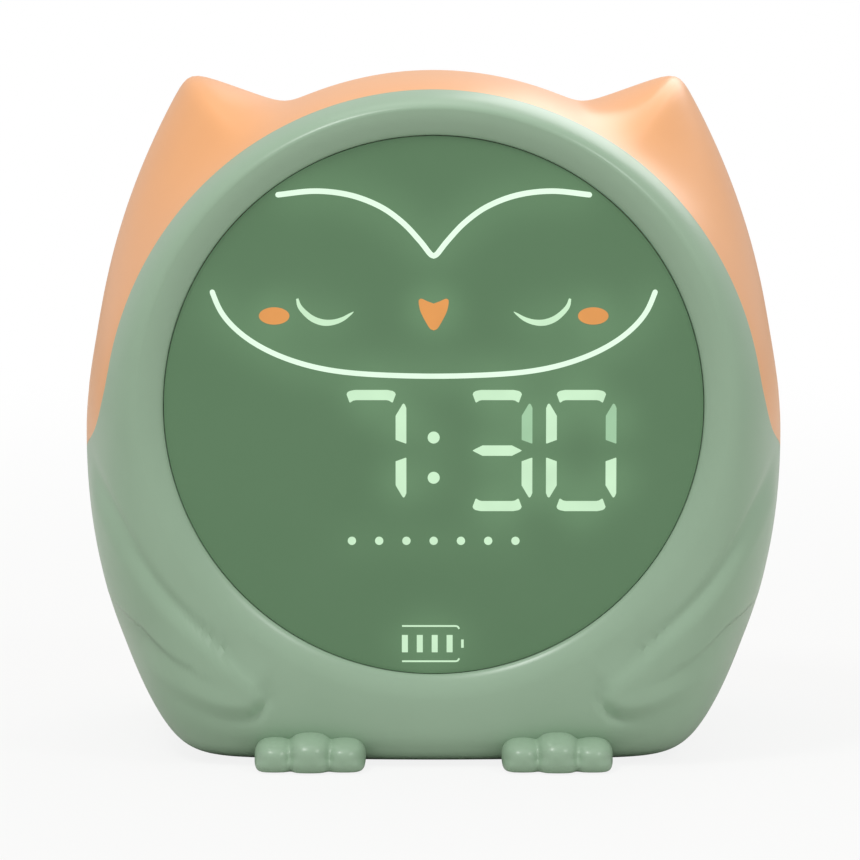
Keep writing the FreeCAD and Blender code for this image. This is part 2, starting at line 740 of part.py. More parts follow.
def rear_housing(skin, room, behind):
    """Peach rear shell: hood, ears and back panel."""
    shell = skin.cut(room).common(behind)
    added = []
    for x, z in CASE_SCREW_PLACES:
        well = prism(CASE_WELL_DIAMETER / 2 + 1.6, V(x, CASE_WELL_FLOOR - 2.0, z), BACK_PANEL)
        added.append(well.common(skin))
    for x, z in BOARD_POSTS:
        added.append(prism(2.5, V(x, MAIN_BOARD_REAR, z), PANEL_INSIDE - MAIN_BOARD_REAR + 0.5))
    screw_seat = PANEL_INSIDE - SPEAKER_GASKET - SPEAKER_FLANGE
    for x, z in speaker_screw_places():
        added.append(prism(2.4, V(x, screw_seat, z), PANEL_INSIDE - screw_seat + 0.5))
    shell = shell.fuse(added)
    holes = grille_holes()
    pilot = 2.2 * PILOT_SHARE / 2
    for x, z in CASE_SCREW_PLACES:
        holes.append(prism(CASE_WELL_DIAMETER / 2, V(x, CASE_WELL_FLOOR, z), BACK_PANEL, sides=16))
        holes.append(prism(CASE_SCREW_SHAFT / 2 + 0.3, V(x, CASE_WELL_FLOOR - 5, z), 10))
    for x, z in BOARD_POSTS:
        holes.append(prism(pilot, V(x, MAIN_BOARD_REAR - 1, z), 7))
    for x, z in speaker_screw_places():
        holes.append(prism(pilot, V(x, screw_seat - 1, z), 3.6))
    for x in BUTTON_PLACES:
        start = V(x, PANEL_INSIDE - 1, BUTTON_LEVEL)
        holes.append(prism(BUTTON_DIAMETER / 2 + BUTTON_GAP, start, WALL + 2, sides=24))
    slot = oval(SLIDER_PLACE, CONTROL_LEVEL, SLIDER_WIDTH + 2 * SLIDER_TRAVEL + 1.2, SLIDER_HEIGHT + 0.6, PANEL_INSIDE - 1)
    holes.append(slot.extrude(V(0, WALL + 2, 0)))
    port = oval(USB_PLACE, CONTROL_LEVEL, USB_WIDTH + 0.5, USB_HEIGHT + 0.5, PANEL_INSIDE - 1)
    holes.append(port.extrude(V(0, WALL + 2, 0)))
    holes.append(cylinder(RESET_DIAMETER / 2, V(0, PANEL_INSIDE - 1, CONTROL_LEVEL), WALL + 2))
    shell = shell.cut(holes)
    return max(shell.Solids, key=lambda solid: solid.Volume)


# Display

def face_lens():
    """Clear tinted disc with a broken edge."""
    disc = cylinder(LENS_RADIUS, V(0, LENS_FRONT, FACE_HEIGHT), LENS_THICKNESS)
    rim = [edge for edge in disc.Edges if edge.Length > LENS_RADIUS and edge.CenterOfMass.y < LENS_FRONT + 0.1]
    return disc.makeChamfer(0.5, rim)


def icon_light_box():
    """Opaque block with a well behind every sign, so that its light doesn't spread."""
    body = cylinder(LENS_RADIUS - SEAT_LIP - CLEARANCE, V(0, LIGHT_BOX_FRONT, FACE_HEIGHT), LIGHT_BOX_DEPTH)
    windows = clock_windows(LIGHT_BOX_FRONT - 1)[0] + owl_windows(LIGHT_BOX_FRONT - 1)[0]
    return body.cut([window.extrude(V(0, LIGHT_BOX_DEPTH + 2, 0)) for window in windows])


def display_board():
    """Round board with four screw lugs."""
    centre = V(0, BOARD_FRONT, FACE_HEIGHT)
    board = cylinder(LENS_RADIUS - SEAT_LIP - 1.2, centre, BOARD_THICKNESS)
    lugs = []
    for place in DISPLAY_LUGS:
        lugs.append(prism(LUG_HALF, V(place.x, BOARD_FRONT, place.z), BOARD_THICKNESS))
        inner = place - V(0, 0, FACE_HEIGHT)
        side = V(-inner.z, 0, inner.x).normalize() * LUG_HALF
        ring = [inner * 0.7 + side, inner + side, inner - side, inner * 0.7 - side]
        ring = [point + centre for point in ring]
        lugs.append(Part.Face(Part.makePolygon(ring + ring[:1])).extrude(V(0, BOARD_THICKNESS, 0)))
    board = joined([board] + lugs)
    return board.cut([prism(1.3, V(p.x, BOARD_FRONT - 1, p.z), 4) for p in DISPLAY_LUGS])


def lights(places, width, height, tall):
    """Surface-mounted lights on the front of the display board."""
    chips = []
    for place in places:
        low = (place.x - width / 2, BOARD_FRONT - tall, place.z - height / 2)
        high = (place.x + width / 2, BOARD_FRONT, place.z + height / 2)
        chips.append(block(low, high))
    return group(chips)


# Main board and what stands on it

SWITCH_BODY = 3.4
SWITCH_HALF = 3.0
PLUNGER_DIAMETER = 3.4
PLUNGER_RISE = 1.1
SLIDER_WIDTH = 2.4
SLIDER_HEIGHT = 2.2
SLIDER_PROUD = 1.2
BUTTON_FLANGE = 1.0


def main_board():
    """Rectangular board with its screw holes."""
    front = MAIN_BOARD_REAR - BOARD_THICKNESS
    half = MAIN_BOARD_HALF_WIDTH
    board = block((-half, front, MAIN_BOARD_LOW), (half, MAIN_BOARD_REAR, MAIN_BOARD_HIGH))
    return board.cut([prism(1.3, V(x, front - 1, z), 4) for x, z in BOARD_POSTS])


def switch_bodies():
    """Five push switches, each with the bore that its plunger slides in."""
    bodies = []
    for x in BUTTON_PLACES:
        low = (x - SWITCH_HALF, MAIN_BOARD_REAR, BUTTON_LEVEL - SWITCH_HALF)
        high = (x + SWITCH_HALF, MAIN_BOARD_REAR + SWITCH_BODY, BUTTON_LEVEL + SWITCH_HALF)
        bore = V(x, MAIN_BOARD_REAR + SWITCH_BODY - 1.4, BUTTON_LEVEL)
        bodies.append(block(low, high).cut(prism(PLUNGER_DIAMETER / 2 + 2 * CLEARANCE, bore, 2)))
    return group(bodies)


def plunger(x):
    """Moving pin of one push switch."""
    start = MAIN_BOARD_REAR + SWITCH_BODY - 1.4 + BUTTON_TRAVEL + 0.2
    end = MAIN_BOARD_REAR + SWITCH_BODY + PLUNGER_RISE
    return prism(PLUNGER_DIAMETER / 2, V(x, start, BUTTON_LEVEL), end - start)


def button(x):
    """Round button: cap, flange behind the panel and a stem down to its switch."""
    stem = MAIN_BOARD_REAR + SWITCH_BODY + PLUNGER_RISE
    flange = PANEL_INSIDE - BUTTON_GAP - BUTTON_FLANGE
    cap = prism(BUTTON_DIAMETER / 2, V(x, flange, BUTTON_LEVEL), BACK_PANEL + BUTTON_PROUD - flange, sides=24)
    rim = [edge for edge in cap.Edges if edge.CenterOfMass.y > BACK_PANEL + BUTTON_PROUD - 0.1]
    cap = cap.makeChamfer(0.4, rim)
    skirt = prism(BUTTON_DIAMETER / 2 + 1.1, V(x, flange, BUTTON_LEVEL), BUTTON_FLANGE, sides=24)
    pin = prism(1.6, V(x, stem, BUTTON_LEVEL), flange - stem)
    return joined([cap, skirt, pin])


def power_switch():
    """Slide switch body with its open channel."""
    wide, high, tall = 8.6, 4.4, 3.6
    x, z, y = SLIDER_PLACE, CONTROL_LEVEL, MAIN_BOARD_REAR
    body = block((x - wide / 2, y, z - high / 2), (x + wide / 2, y + tall, z + high / 2))
    reach = SLIDER_WIDTH / 2 + SLIDER_TRAVEL + CLEARANCE
    half = SLIDER_HEIGHT / 2 + CLEARANCE
    return body.cut(block((x - reach, y + 1.6, z - half), (x + reach, y + 5, z + half)))


def power_slider():
    """Knob of the slide switch, through the slot in the panel."""
    x, z = SLIDER_PLACE, CONTROL_LEVEL
    low = (x - SLIDER_WIDTH / 2, MAIN_BOARD_REAR + 1.7, z - SLIDER_HEIGHT / 2)
    high = (x + SLIDER_WIDTH / 2, BACK_PANEL + SLIDER_PROUD, z + SLIDER_HEIGHT / 2)
    knob = block(low, high)
    ends = [edge for edge in knob.Edges if edge.CenterOfMass.y > BACK_PANEL + SLIDER_PROUD - 0.1]
    return knob.makeChamfer(0.3, ends)


def usb_socket():
    """Upright charging socket: a rounded metal shell round a tongue."""
    start = MAIN_BOARD_REAR
    reach = USB_REAR - start
    outside = oval(USB_PLACE, CONTROL_LEVEL, USB_WIDTH, USB_HEIGHT, start).extrude(V(0, reach, 0))
    inside = oval(USB_PLACE, CONTROL_LEVEL, USB_WIDTH - 0.6, USB_HEIGHT - 0.6, start + 2.4)
    shell = outside.cut(inside.extrude(V(0, reach, 0)))
    low = (USB_PLACE - 3.35, start + 2.4, CONTROL_LEVEL - 0.35)
    return shell.fuse(block(low, (USB_PLACE + 3.35, USB_REAR - 0.9, CONTROL_LEVEL + 0.35)))


# Speaker

FLANGE_REAR = PANEL_INSIDE - SPEAKER_GASKET
FLANGE_FRONT = FLANGE_REAR - SPEAKER_FLANGE
BASKET_FRONT = FLANGE_REAR - 6.4
MAGNET_FRONT = FLANGE_REAR - SPEAKER_DEPTH


def speaker_basket():
    """Pressed frame: flange, slanted wall and the plate that carries the magnet."""
    r = SPEAKER_RADIUS
    profile = [(r, FLANGE_REAR), (r, FLANGE_FRONT), (r - 1.6, FLANGE_FRONT), (r - 4.6, BASKET_FRONT)]
    profile += [(4.2, BASKET_FRONT), (4.2, BASKET_FRONT + 0.8), (r - 5.3, BASKET_FRONT + 0.8)]
    profile += [(r - 2.4, FLANGE_FRONT + 0.5), (r - 2.4, FLANGE_REAR)]
    return turned(profile, SPEAKER_LEVEL, 24)


def speaker_cone():
    """Thin cone with its dust cap, hung in the basket."""
    r = SPEAKER_RADIUS - 2.6
    rear = FLANGE_REAR - 0.3
    profile = [(r, rear), (r, rear - 0.3), (r - 1.6, rear - 0.5), (4.4, rear - 3.6), (0, rear - 2.6)]
    profile += [(0, rear - 2.2), (4.2, rear - 3.1), (r - 1.6, rear)]
    return turned(profile, SPEAKER_LEVEL, 24)


# Battery

def battery_clamp():
    """Band over the cell with a foot on each side."""
    inner = CELL_DIAMETER / 2 + CELL_GAP
    outer = inner + CLAMP_THICKNESS
    left = -CLAMP_WIDTH / 2
    centre = V(left, CELL_DEPTH, CELL_LEVEL)
    band = prism(outer, centre, CLAMP_WIDTH, V(1, 0, 0), 24).cut(prism(inner, centre, CLAMP_WIDTH, V(1, 0, 0), 24))
    band = band.common(block((left, CELL_DEPTH - 20, CELL_LEVEL), (-left, CELL_DEPTH + 20, CELL_LEVEL + 20)))
    pieces = [band]
    low = CLAMP_FOOT_LEVEL
    for side in (-1, 1):
        near, far = sorted((CELL_DEPTH + side * inner, CELL_DEPTH + side * outer))
        pieces.append(block((left, near, low), (-left, far, CELL_LEVEL)))
        near, far = sorted((CELL_DEPTH + side * inner, CELL_DEPTH + side * (CLAMP_SCREW_REACH + 3)))
        pieces.append(block((left, near, low), (-left, far, low + CLAMP_THICKNESS)))
    clamp = joined(pieces)
    places = [V(0, CELL_DEPTH + side * CLAMP_SCREW_REACH, low - 1) for side in (-1, 1)]
    return clamp.cut([prism(1.3, place, 4, V(0, 0, 1)) for place in places])


# Leads and their sockets, on the front of the main board

BOARD_FACE = MAIN_BOARD_REAR - BOARD_THICKNESS
SOCKET_PLACES = [("battery", 24.5), ("speaker", 11.0)]
SOCKET_LOW = 72.0
SOCKET_DEEP = 5.0
RIBBON_PLACE = -17.0
RIBBON_LEVEL = 84.0
RIBBON_WIDTH = 13.0
RIBBON_THICKNESS = 0.3


def lead_sockets():
    """Open-bottomed sockets for the battery and speaker plugs."""
    sockets = []
    for _, x in SOCKET_PLACES:
        body = block((x - 3.6, BOARD_FACE - SOCKET_DEEP, SOCKET_LOW), (x + 3.6, BOARD_FACE, SOCKET_LOW + 6))
        room = block((x - 2.8, BOARD_FACE - SOCKET_DEEP + 0.8, SOCKET_LOW - 1),
                     (x + 2.8, BOARD_FACE - 0.8, SOCKET_LOW + 5))
        sockets.append(body.cut(room))
    return group(sockets)


def lead_plugs():
    """Plugs of the battery and speaker leads, pushed home."""
    plugs = []
    for _, x in SOCKET_PLACES:
        low = (x - 2.7, BOARD_FACE - SOCKET_DEEP + 0.9, SOCKET_LOW - 1.4)
        plugs.append(block(low, (x + 2.7, BOARD_FACE - 0.9, SOCKET_LOW + 4.9)))
    return group(plugs)


def display_ribbon(near, far):
    """Flat ribbon from the display board to the main board."""
    points = [V(0, near, RIBBON_LEVEL), V(0, near + 13, RIBBON_LEVEL + 2), V(0, near + 32, RIBBON_LEVEL - 8)]
    points += [V(0, far - 14, RIBBON_LEVEL + 2), V(0, far, RIBBON_LEVEL)]
    path, radii = route_wire([point + V(RIBBON_PLACE, 0, 0) for point in points])
    print("display_ribbon bend radii", radii)
    half = RIBBON_WIDTH / 2
    thick = RIBBON_THICKNESS / 2
    start = V(RIBBON_PLACE, near, RIBBON_LEVEL)
    normal = V(0, -(points[1] - points[0]).z, (points[1] - points[0]).y).normalize() * thick
    ring = [start + V(-half, 0, 0) + normal, start + V(half, 0, 0) + normal]
    ring += [start + V(half, 0, 0) - normal, start + V(-half, 0, 0) - normal]
    return path.makePipeShell([Part.makePolygon(ring + ring[:1])], True, False)


def build_all():
    """Make and write every sub-part."""
    skin = outer_body()
    room = inner_body()
    behind = parting_block()
    holes = [peg(side, place, PEG_DIAMETER) for side in (-1, 1) for place in (-1, 1)]
    save("front_housing", front_housing(skin, room, behind, holes))
    save("rear_housing", rear_housing(skin, room, behind))
    save("left_foot", foot(-1, skin))
    save("right_foot", foot(1, skin))
    save("rubber_pads", group([prism(PAD_DIAMETER / 2, V(x, y, 0), PAD_TOP, V(0, 0, 1), 24) for x, y in PAD_PLACES]))
    case_head = CASE_WELL_DIAMETER - 1.4
    seats = [V(x, CASE_WELL_FLOOR, z) for x, z in CASE_SCREW_PLACES]
    save("case_screws", group([screw(s, V(0, -1, 0), case_head, CASE_SCREW_SHAFT * 0.95, CASE_SCREW_LENGTH) for s in seats]))

    save("face_lens", face_lens())
    lens_rear = LENS_FRONT + LENS_THICKNESS
    tape = tube(LENS_RADIUS, LENS_RADIUS - SEAT_LIP + 0.3, lens_rear, lens_rear + TAPE_THICKNESS, FACE_HEIGHT)
    save("lens_tape", tape)
    save("diffuser_film", cylinder(LENS_RADIUS - SEAT_LIP - 0.2, V(0, lens_rear, FACE_HEIGHT), FILM_THICKNESS))
    save("icon_light_box", icon_light_box())
    save("display_board", display_board())
    save("display_leds", lights(clock_windows(0)[1], 1.0, 1.0, 0.6))
    save("night_light_leds", lights(owl_windows(0)[1], 0.6, 0.6, 0.7))
    seats = [V(p.x, BOARD_REAR, p.z) for p in DISPLAY_LUGS]
    save("display_screws", group([screw(s, V(0, -1, 0), 4.6, 2.2, 7.0) for s in seats]))

    save("main_board", main_board())
    save("switch_bodies", switch_bodies())
    for name, x in zip(BUTTON_NAMES, BUTTON_PLACES):
        save(name, button(x))
        save(name.replace("button", "plunger"), plunger(x))
    save("power_switch", power_switch())
    save("power_slider", power_slider())
    save("usb_socket", usb_socket())
    chip = block((-5.0, BOARD_FACE - 1.6, 80.0), (5.0, BOARD_FACE, 90.0))
    save("clock_chip", chip)
    save("clock_crystal", cylinder(1.5, V(9.0, BOARD_FACE - 1.5, 82.0), 8.0, V(0, 0, 1)))
    save("supply_capacitor", cylinder(4.0, V(26.0, BOARD_FACE - 9.0, 94.0), 9.0))
    seats = [V(x, BOARD_FACE, z) for x, z in BOARD_POSTS]
    save("board_screws", group([screw(s, V(0, 1, 0), 4.2, 2.0, 6.8) for s in seats]))

    save("speaker_gasket", tube(SPEAKER_RADIUS, SPEAKER_RADIUS - 2.4, FLANGE_REAR, PANEL_INSIDE, SPEAKER_LEVEL, 24))
    save("speaker_basket", speaker_basket())
    save("speaker_cone", speaker_cone())
    save("speaker_magnet", cylinder(SPEAKER_RADIUS * 0.58, V(0, MAGNET_FRONT, SPEAKER_LEVEL), BASKET_FRONT - MAGNET_FRONT))
    seats = [V(x, FLANGE_FRONT, z) for x, z in speaker_screw_places()]
    save("speaker_screws", group([screw(s, V(0, 1, 0), 5.8, 2.0, 3.6) for s in seats]))

    cell_start = V(-CELL_LENGTH / 2, CELL_DEPTH, CELL_LEVEL)
    save("battery_cell", cylinder(CELL_DIAMETER / 2, cell_start, CELL_LENGTH, V(1, 0, 0)))
    save("battery_clamp", battery_clamp())
    seats = [V(0, CELL_DEPTH + side * CLAMP_SCREW_REACH, CLAMP_FOOT_LEVEL + CLAMP_THICKNESS) for side in (-1, 1)]
    save("clamp_screws", group([screw(s, V(0, 0, -1), 4.2, 2.0, 6.0) for s in seats]))

    save("lead_sockets", lead_sockets())
    save("lead_plugs", lead_plugs())
    plug_level = SOCKET_LOW - 1.4
    plug_depth = BOARD_FACE - SOCKET_DEEP / 2
    battery_plug, speaker_plug = SOCKET_PLACES[0][1], SOCKET_PLACES[1][1]
    route = [V(CELL_LENGTH / 2, CELL_DEPTH, CELL_LEVEL), V(CELL_LENGTH / 2 + 6, CELL_DEPTH, CELL_LEVEL)]
    route += [V(39.5, CELL_DEPTH + 6, CELL_LEVEL + 11), V(35.0, 19.0, 39.0), V(28.0, 29.0, 52.0)]
    route += [V(battery_plug, plug_depth, 61.0), V(battery_plug, plug_depth, plug_level)]
    save("battery_lead", lead("battery_lead", route, 2.2))
    route = [V(SPEAKER_RADIUS - 3.0, FLANGE_FRONT - 3.3, SPEAKER_LEVEL), V(SPEAKER_RADIUS + 2, 40.0, SPEAKER_LEVEL)]
    route += [V(SPEAKER_RADIUS + 3, 37.0, 55.0), V(speaker_plug, plug_depth, 61.0), V(speaker_plug, plug_depth, plug_level)]
    save("speaker_lead", lead("speaker_lead", route, 1.8))
    socket = RIBBON_WIDTH / 2 + 1.5
    near = BOARD_REAR + 3.0
    far = BOARD_FACE - 3.0
    low, high = RIBBON_LEVEL - 1.5, RIBBON_LEVEL + 1.5
    ends = [block((RIBBON_PLACE - socket, BOARD_REAR, low), (RIBBON_PLACE + socket, near, high))]
    ends.append(block((RIBBON_PLACE - socket, far, low), (RIBBON_PLACE + socket, BOARD_FACE, high)))
    save("ribbon_sockets", group(ends))
    save("display_ribbon", display_ribbon(near, far))


build_all()
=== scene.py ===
import math

import bmesh
import bpy
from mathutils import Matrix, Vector
from mathutils.kdtree import KDTree


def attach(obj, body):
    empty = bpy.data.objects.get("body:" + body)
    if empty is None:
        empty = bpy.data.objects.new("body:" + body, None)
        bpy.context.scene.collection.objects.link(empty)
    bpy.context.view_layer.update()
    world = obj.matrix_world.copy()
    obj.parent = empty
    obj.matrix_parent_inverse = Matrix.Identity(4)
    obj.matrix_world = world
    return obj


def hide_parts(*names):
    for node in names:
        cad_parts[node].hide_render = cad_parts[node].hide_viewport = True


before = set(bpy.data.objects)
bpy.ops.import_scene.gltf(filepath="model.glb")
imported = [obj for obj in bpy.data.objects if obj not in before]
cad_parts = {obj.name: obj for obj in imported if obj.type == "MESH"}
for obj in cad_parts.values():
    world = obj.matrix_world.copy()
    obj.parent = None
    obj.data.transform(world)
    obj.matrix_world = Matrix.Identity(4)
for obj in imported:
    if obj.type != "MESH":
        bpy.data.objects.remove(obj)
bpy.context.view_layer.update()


# Camera at the photograph's angle: it stands 0.9 m off with a long lens and looks down by
# 5.5 degrees at the middle of the clock.

VIEW_DISTANCE = 0.9
VIEW_RISE = math.radians(5.5)
VIEW_TARGET = Vector((-0.0007, 0.0, 0.0607))
LENS_ON_36_MM = 188.4

scene = bpy.context.scene
scene.view_settings.view_transform = "Standard"
camera = bpy.data.objects.new("camera", bpy.data.cameras.new("camera"))
camera.data.lens = LENS_ON_36_MM
camera.data.sensor_width = 36.0
back_off = Vector((0.0, -math.cos(VIEW_RISE), math.sin(VIEW_RISE))) * VIEW_DISTANCE
camera.location = VIEW_TARGET + back_off
camera.rotation_euler = (math.pi / 2 - VIEW_RISE, 0.0, 0.0)
scene.collection.objects.link(camera)
scene.camera = camera


# White studio: two small soft boxes at the front, a wide one overhead, one behind for the back,
# and an even pale room. The small boxes give the highlights on the toes and on the rim.

LAMPS = [
    ("left_box", (-0.5, -0.6, 1.35), 0.35, 7.4),
    ("right_box", (0.8, -0.7, 1.02), 0.3, 3.0),
    ("top_box", (0.0, 0.25, 1.3), 0.9, 2.5),
    ("rear_box", (0.5, 1.2, 0.9), 0.8, 4.0),
]
ROOM_LIGHT = 0.57
ROOM_IN_REFLECTIONS = 0.6


def linear(code, alpha=1.0):
    """Linear colour from an sRGB hex value."""
    parts = [int(code[index:index + 2], 16) / 255 for index in (1, 3, 5)]
    return [c / 12.92 if c <= 0.04045 else ((c + 0.055) / 1.055) ** 2.4 for c in parts] + [alpha]


def node(tree, kind, inputs=None, **settings):
    """Adds one node, sets its options, and sets or links its inputs."""
    made = tree.nodes.new(kind)
    for name, value in settings.items():
        setattr(made, name, value)
    for name, value in (inputs or {}).items():
        if isinstance(value, bpy.types.NodeSocket):
            tree.links.new(value, made.inputs[name])
        else:
            made.inputs[name].default_value = value
    return made


for name, place, size, power in LAMPS:
    lamp = bpy.data.objects.new(name, bpy.data.lights.new(name, "AREA"))
    lamp.data.size = size
    lamp.data.energy = power
    lamp.location = place
    lamp.rotation_euler = (VIEW_TARGET - Vector(place)).to_track_quat("-Z", "Y").to_euler()
    scene.collection.objects.link(lamp)

world = bpy.data.worlds.new("pale_room")
world.use_nodes = True
tree = world.node_tree
tree.nodes.clear()
path = node(tree, "ShaderNodeLightPath")
seen = node(tree, "ShaderNodeMath", {
    0: path.outputs["Is Camera Ray"], 1: path.outputs["Is Transmission Ray"]}, operation="MAXIMUM")
unseen = node(tree, "ShaderNodeMapRange", {
    "Value": path.outputs["Is Glossy Ray"], "To Min": ROOM_LIGHT, "To Max": ROOM_IN_REFLECTIONS})
strength = node(tree, "ShaderNodeMapRange", {
    "Value": seen.outputs[0], "To Min": unseen.outputs[0], "To Max": 1.0})
room = node(tree, "ShaderNodeBackground", {"Color": linear("#FFFFFF"), "Strength": strength.outputs[0]})
node(tree, "ShaderNodeOutputWorld", {"Surface": room.outputs[0]})
scene.world = world


# Studio floor: a sheet of pale matt paper that keeps the clock's contact shadow near it and
# runs out to plain white further away.

FLOOR_HALF = 6.0
FLOOR_PAPER_SHARE = 0.14
FLOOR_PAPER_REACH = (0.12, 0.9)


def blank_material(name):
    """New material with an empty node tree, and that tree."""
    material = bpy.data.materials.new(name)
    material.use_nodes = True
    material.node_tree.nodes.clear()
    return material, material.node_tree


bm = bmesh.new()
bmesh.ops.create_grid(bm, x_segments=1, y_segments=1, size=FLOOR_HALF)
floor_mesh = bpy.data.meshes.new("floor")
bm.to_mesh(floor_mesh)
bm.free()
floor = bpy.data.objects.new("floor", floor_mesh)
scene.collection.objects.link(floor)
matt_paper, tree = blank_material("matt_white_paper")
path = node(tree, "ShaderNodeLightPath")
paper = node(tree, "ShaderNodeBsdfDiffuse", {"Color": linear("#D2D2CE")})
bright = node(tree, "ShaderNodeEmission", {"Color": linear("#FFFFFF"), "Strength": 1.0})
place = node(tree, "ShaderNodeTexCoord").outputs["Object"]
away = node(tree, "ShaderNodeVectorMath", {0: place}, operation="LENGTH")
whiteness = node(tree, "ShaderNodeMapRange", {
    "Value": away.outputs["Value"], "From Min": FLOOR_PAPER_REACH[0],
    "From Max": FLOOR_PAPER_REACH[1], "To Min": 1 - FLOOR_PAPER_SHARE, "To Max": 1.0},
    interpolation_type="SMOOTHSTEP")
share = node(tree, "ShaderNodeMath", {
    0: path.outputs["Is Camera Ray"], 1: whiteness.outputs[0]}, operation="MULTIPLY")
mixed = node(tree, "ShaderNodeMixShader", {
    0: share.outputs[0], 1: paper.outputs[0], 2: bright.outputs[0]})
node(tree, "ShaderNodeOutputMaterial", {"Surface": mixed.outputs[0]})
floor.data.materials.append(matt_paper)


# Body skin, shared by the two housings: an egg with two ears, seen from the front as a polar
# outline round the face axis and rounded from the rim of the face to the flat back panel.
# Sizes are in millimetres; each finished mesh is brought to metres.

MM = 0.001
HALF_WIDTH = 69.2
WIDEST_HEIGHT = 60.7
DOME_RISE = 71.7
BELLY_DROP = 85.5
BASE_HEIGHT = 0.3
BASE_TRIM = 1.0
BASE_CORNER_POWER = 30
UNDERSIDE_FROM_SINE = -0.05
RIM_FRONT = -45.3
WIDEST_DEPTH = 5.0
BACK_PANEL = 50.0
BACK_PANEL_RADIUS = 44.0
WALL = 2.0
FACE_HEIGHT = 69.4
LENS_RADIUS = 51.4
LENS_GAP = 0.1
RIM_CREST_RADIUS = 56.4
EAR_SIDE_REACH = 67.7
EAR_SIDE_LEAN = 0.018
EAR_SIDE_CURVE = 0.0045
EAR_INNER_TIP = (47.0, 62.4)
EAR_INNER_FOOT = (30.0, 56.2)
EAR_TIP_SHARPNESS = 36
EAR_BLEND = 50
EAR_LOW_BLEND = 150
EAR_HIGH_SINE = math.sqrt(0.5)
EAR_LAST_ANGLE = 80
EARS_FROM_FRONT = (30, 90)
EARS_FROM_BACK = (10, 90)
SKIN_POWER = 2.0
SIDE_FULLNESS = 1.3
SIDE_FULLNESS_FROM = (0.1, 0.85)
LOW_FULLNESS = 2.4
LOW_FULLNESS_FROM = (0.6, 0.9)
PARTING_CURVE = [(-37.2, 76.0), (-36.3, 71.5), (-32.7, 65.8), (-26.6, 62.3), (-12.0, 58.6),
                 (10.0, 51.0), (32.0, 39.5), (52.0, 26.0)]
PARTING_LAST_WAY = 2.6
HALVINGS = 30
SHARP_ANGLE = 40


def smooth_step(low, high, value):
    """Rises smoothly from 0 to 1 between two values."""
    share = min(1.0, max(0.0, (value - low) / (high - low)))
    return share * share * (3 - 2 * share)


def smooth_line(points, steps):
    """Points along a smooth curve through the given ones."""
    points = [Vector(point) for point in points]
    ends = [2 * points[0] - points[1]] + points + [2 * points[-1] - points[-2]]
    line = []
    for before, start, end, after in zip(ends, ends[1:], ends[2:], ends[3:]):
        for step in range(steps):
            t = step / steps
            line.append(0.5 * (2 * start + (end - before) * t
                               + (2 * before - 5 * start + 4 * end - after) * t ** 2
                               + (3 * start - before - 3 * end + after) * t ** 3))
    return line + [points[-1]]


def dome_radius(angle):
    """Distance from the face centre to the body outline without ears."""
    drop = FACE_HEIGHT - WIDEST_HEIGHT
    for rise in (DOME_RISE, BELLY_DROP):
        a = (math.cos(angle) / HALF_WIDTH) ** 2 + (math.sin(angle) / rise) ** 2
        b = 2 * drop * math.sin(angle) / rise ** 2
        c = (drop / rise) ** 2 - 1
        radius = (math.sqrt(b * b - 4 * a * c) - b) / (2 * a)
        if radius * math.sin(angle) + drop >= 0:
            break
    if math.sin(angle) > UNDERSIDE_FROM_SINE:
        return radius
    floor_radius = (FACE_HEIGHT - BASE_HEIGHT + BASE_TRIM) / -math.sin(angle)
    power = BASE_CORNER_POWER
    return (radius ** -power + floor_radius ** -power) ** (-1 / power)


def ear_side_radius(angle):
    """Polar radius of an ear's outer edge, which bows outwards."""
    bow = EAR_SIDE_CURVE * math.sin(angle) ** 2
    lean = math.cos(angle) + EAR_SIDE_LEAN * math.sin(angle)
    return 2 * EAR_SIDE_REACH / (lean + math.sqrt(lean * lean + 4 * bow * EAR_SIDE_REACH))


def edge_radius(start, end, angle):
    """Polar radius of the straight line through two points of an ear's outline."""
    across = end[1] - start[1]
    along = start[0] - end[0]
    reach = across * start[0] + along * start[1]
    return abs(reach / (across * math.cos(angle) + along * math.sin(angle)))


def ear_radius(angle):
    """Polar radius of an ear with a rounded tip, or nothing away from the ears."""
    side = angle if math.cos(angle) >= 0 else math.pi - angle
    if not 0 < side < math.radians(EAR_LAST_ANGLE):
        return 0.0
    outer = ear_side_radius(side)
    inner = edge_radius(EAR_INNER_TIP, EAR_INNER_FOOT, side)
    near = min(outer, inner)
    power = EAR_TIP_SHARPNESS
    return near * ((near / outer) ** power + (near / inner) ** power) ** (-1 / power)


def outline_radius(angle, ear_share):
    """Body outline with a share of the ears' height."""
    dome = dome_radius(angle)
    ear = ear_radius(angle)
    if ear <= 0:
        return dome
    high = max(dome, ear)
    power = EAR_BLEND if math.sin(angle) > EAR_HIGH_SINE else EAR_LOW_BLEND
    both = high * ((dome / high) ** power + (ear / high) ** power) ** (1 / power)
    return dome + ear_share * (both - dome)


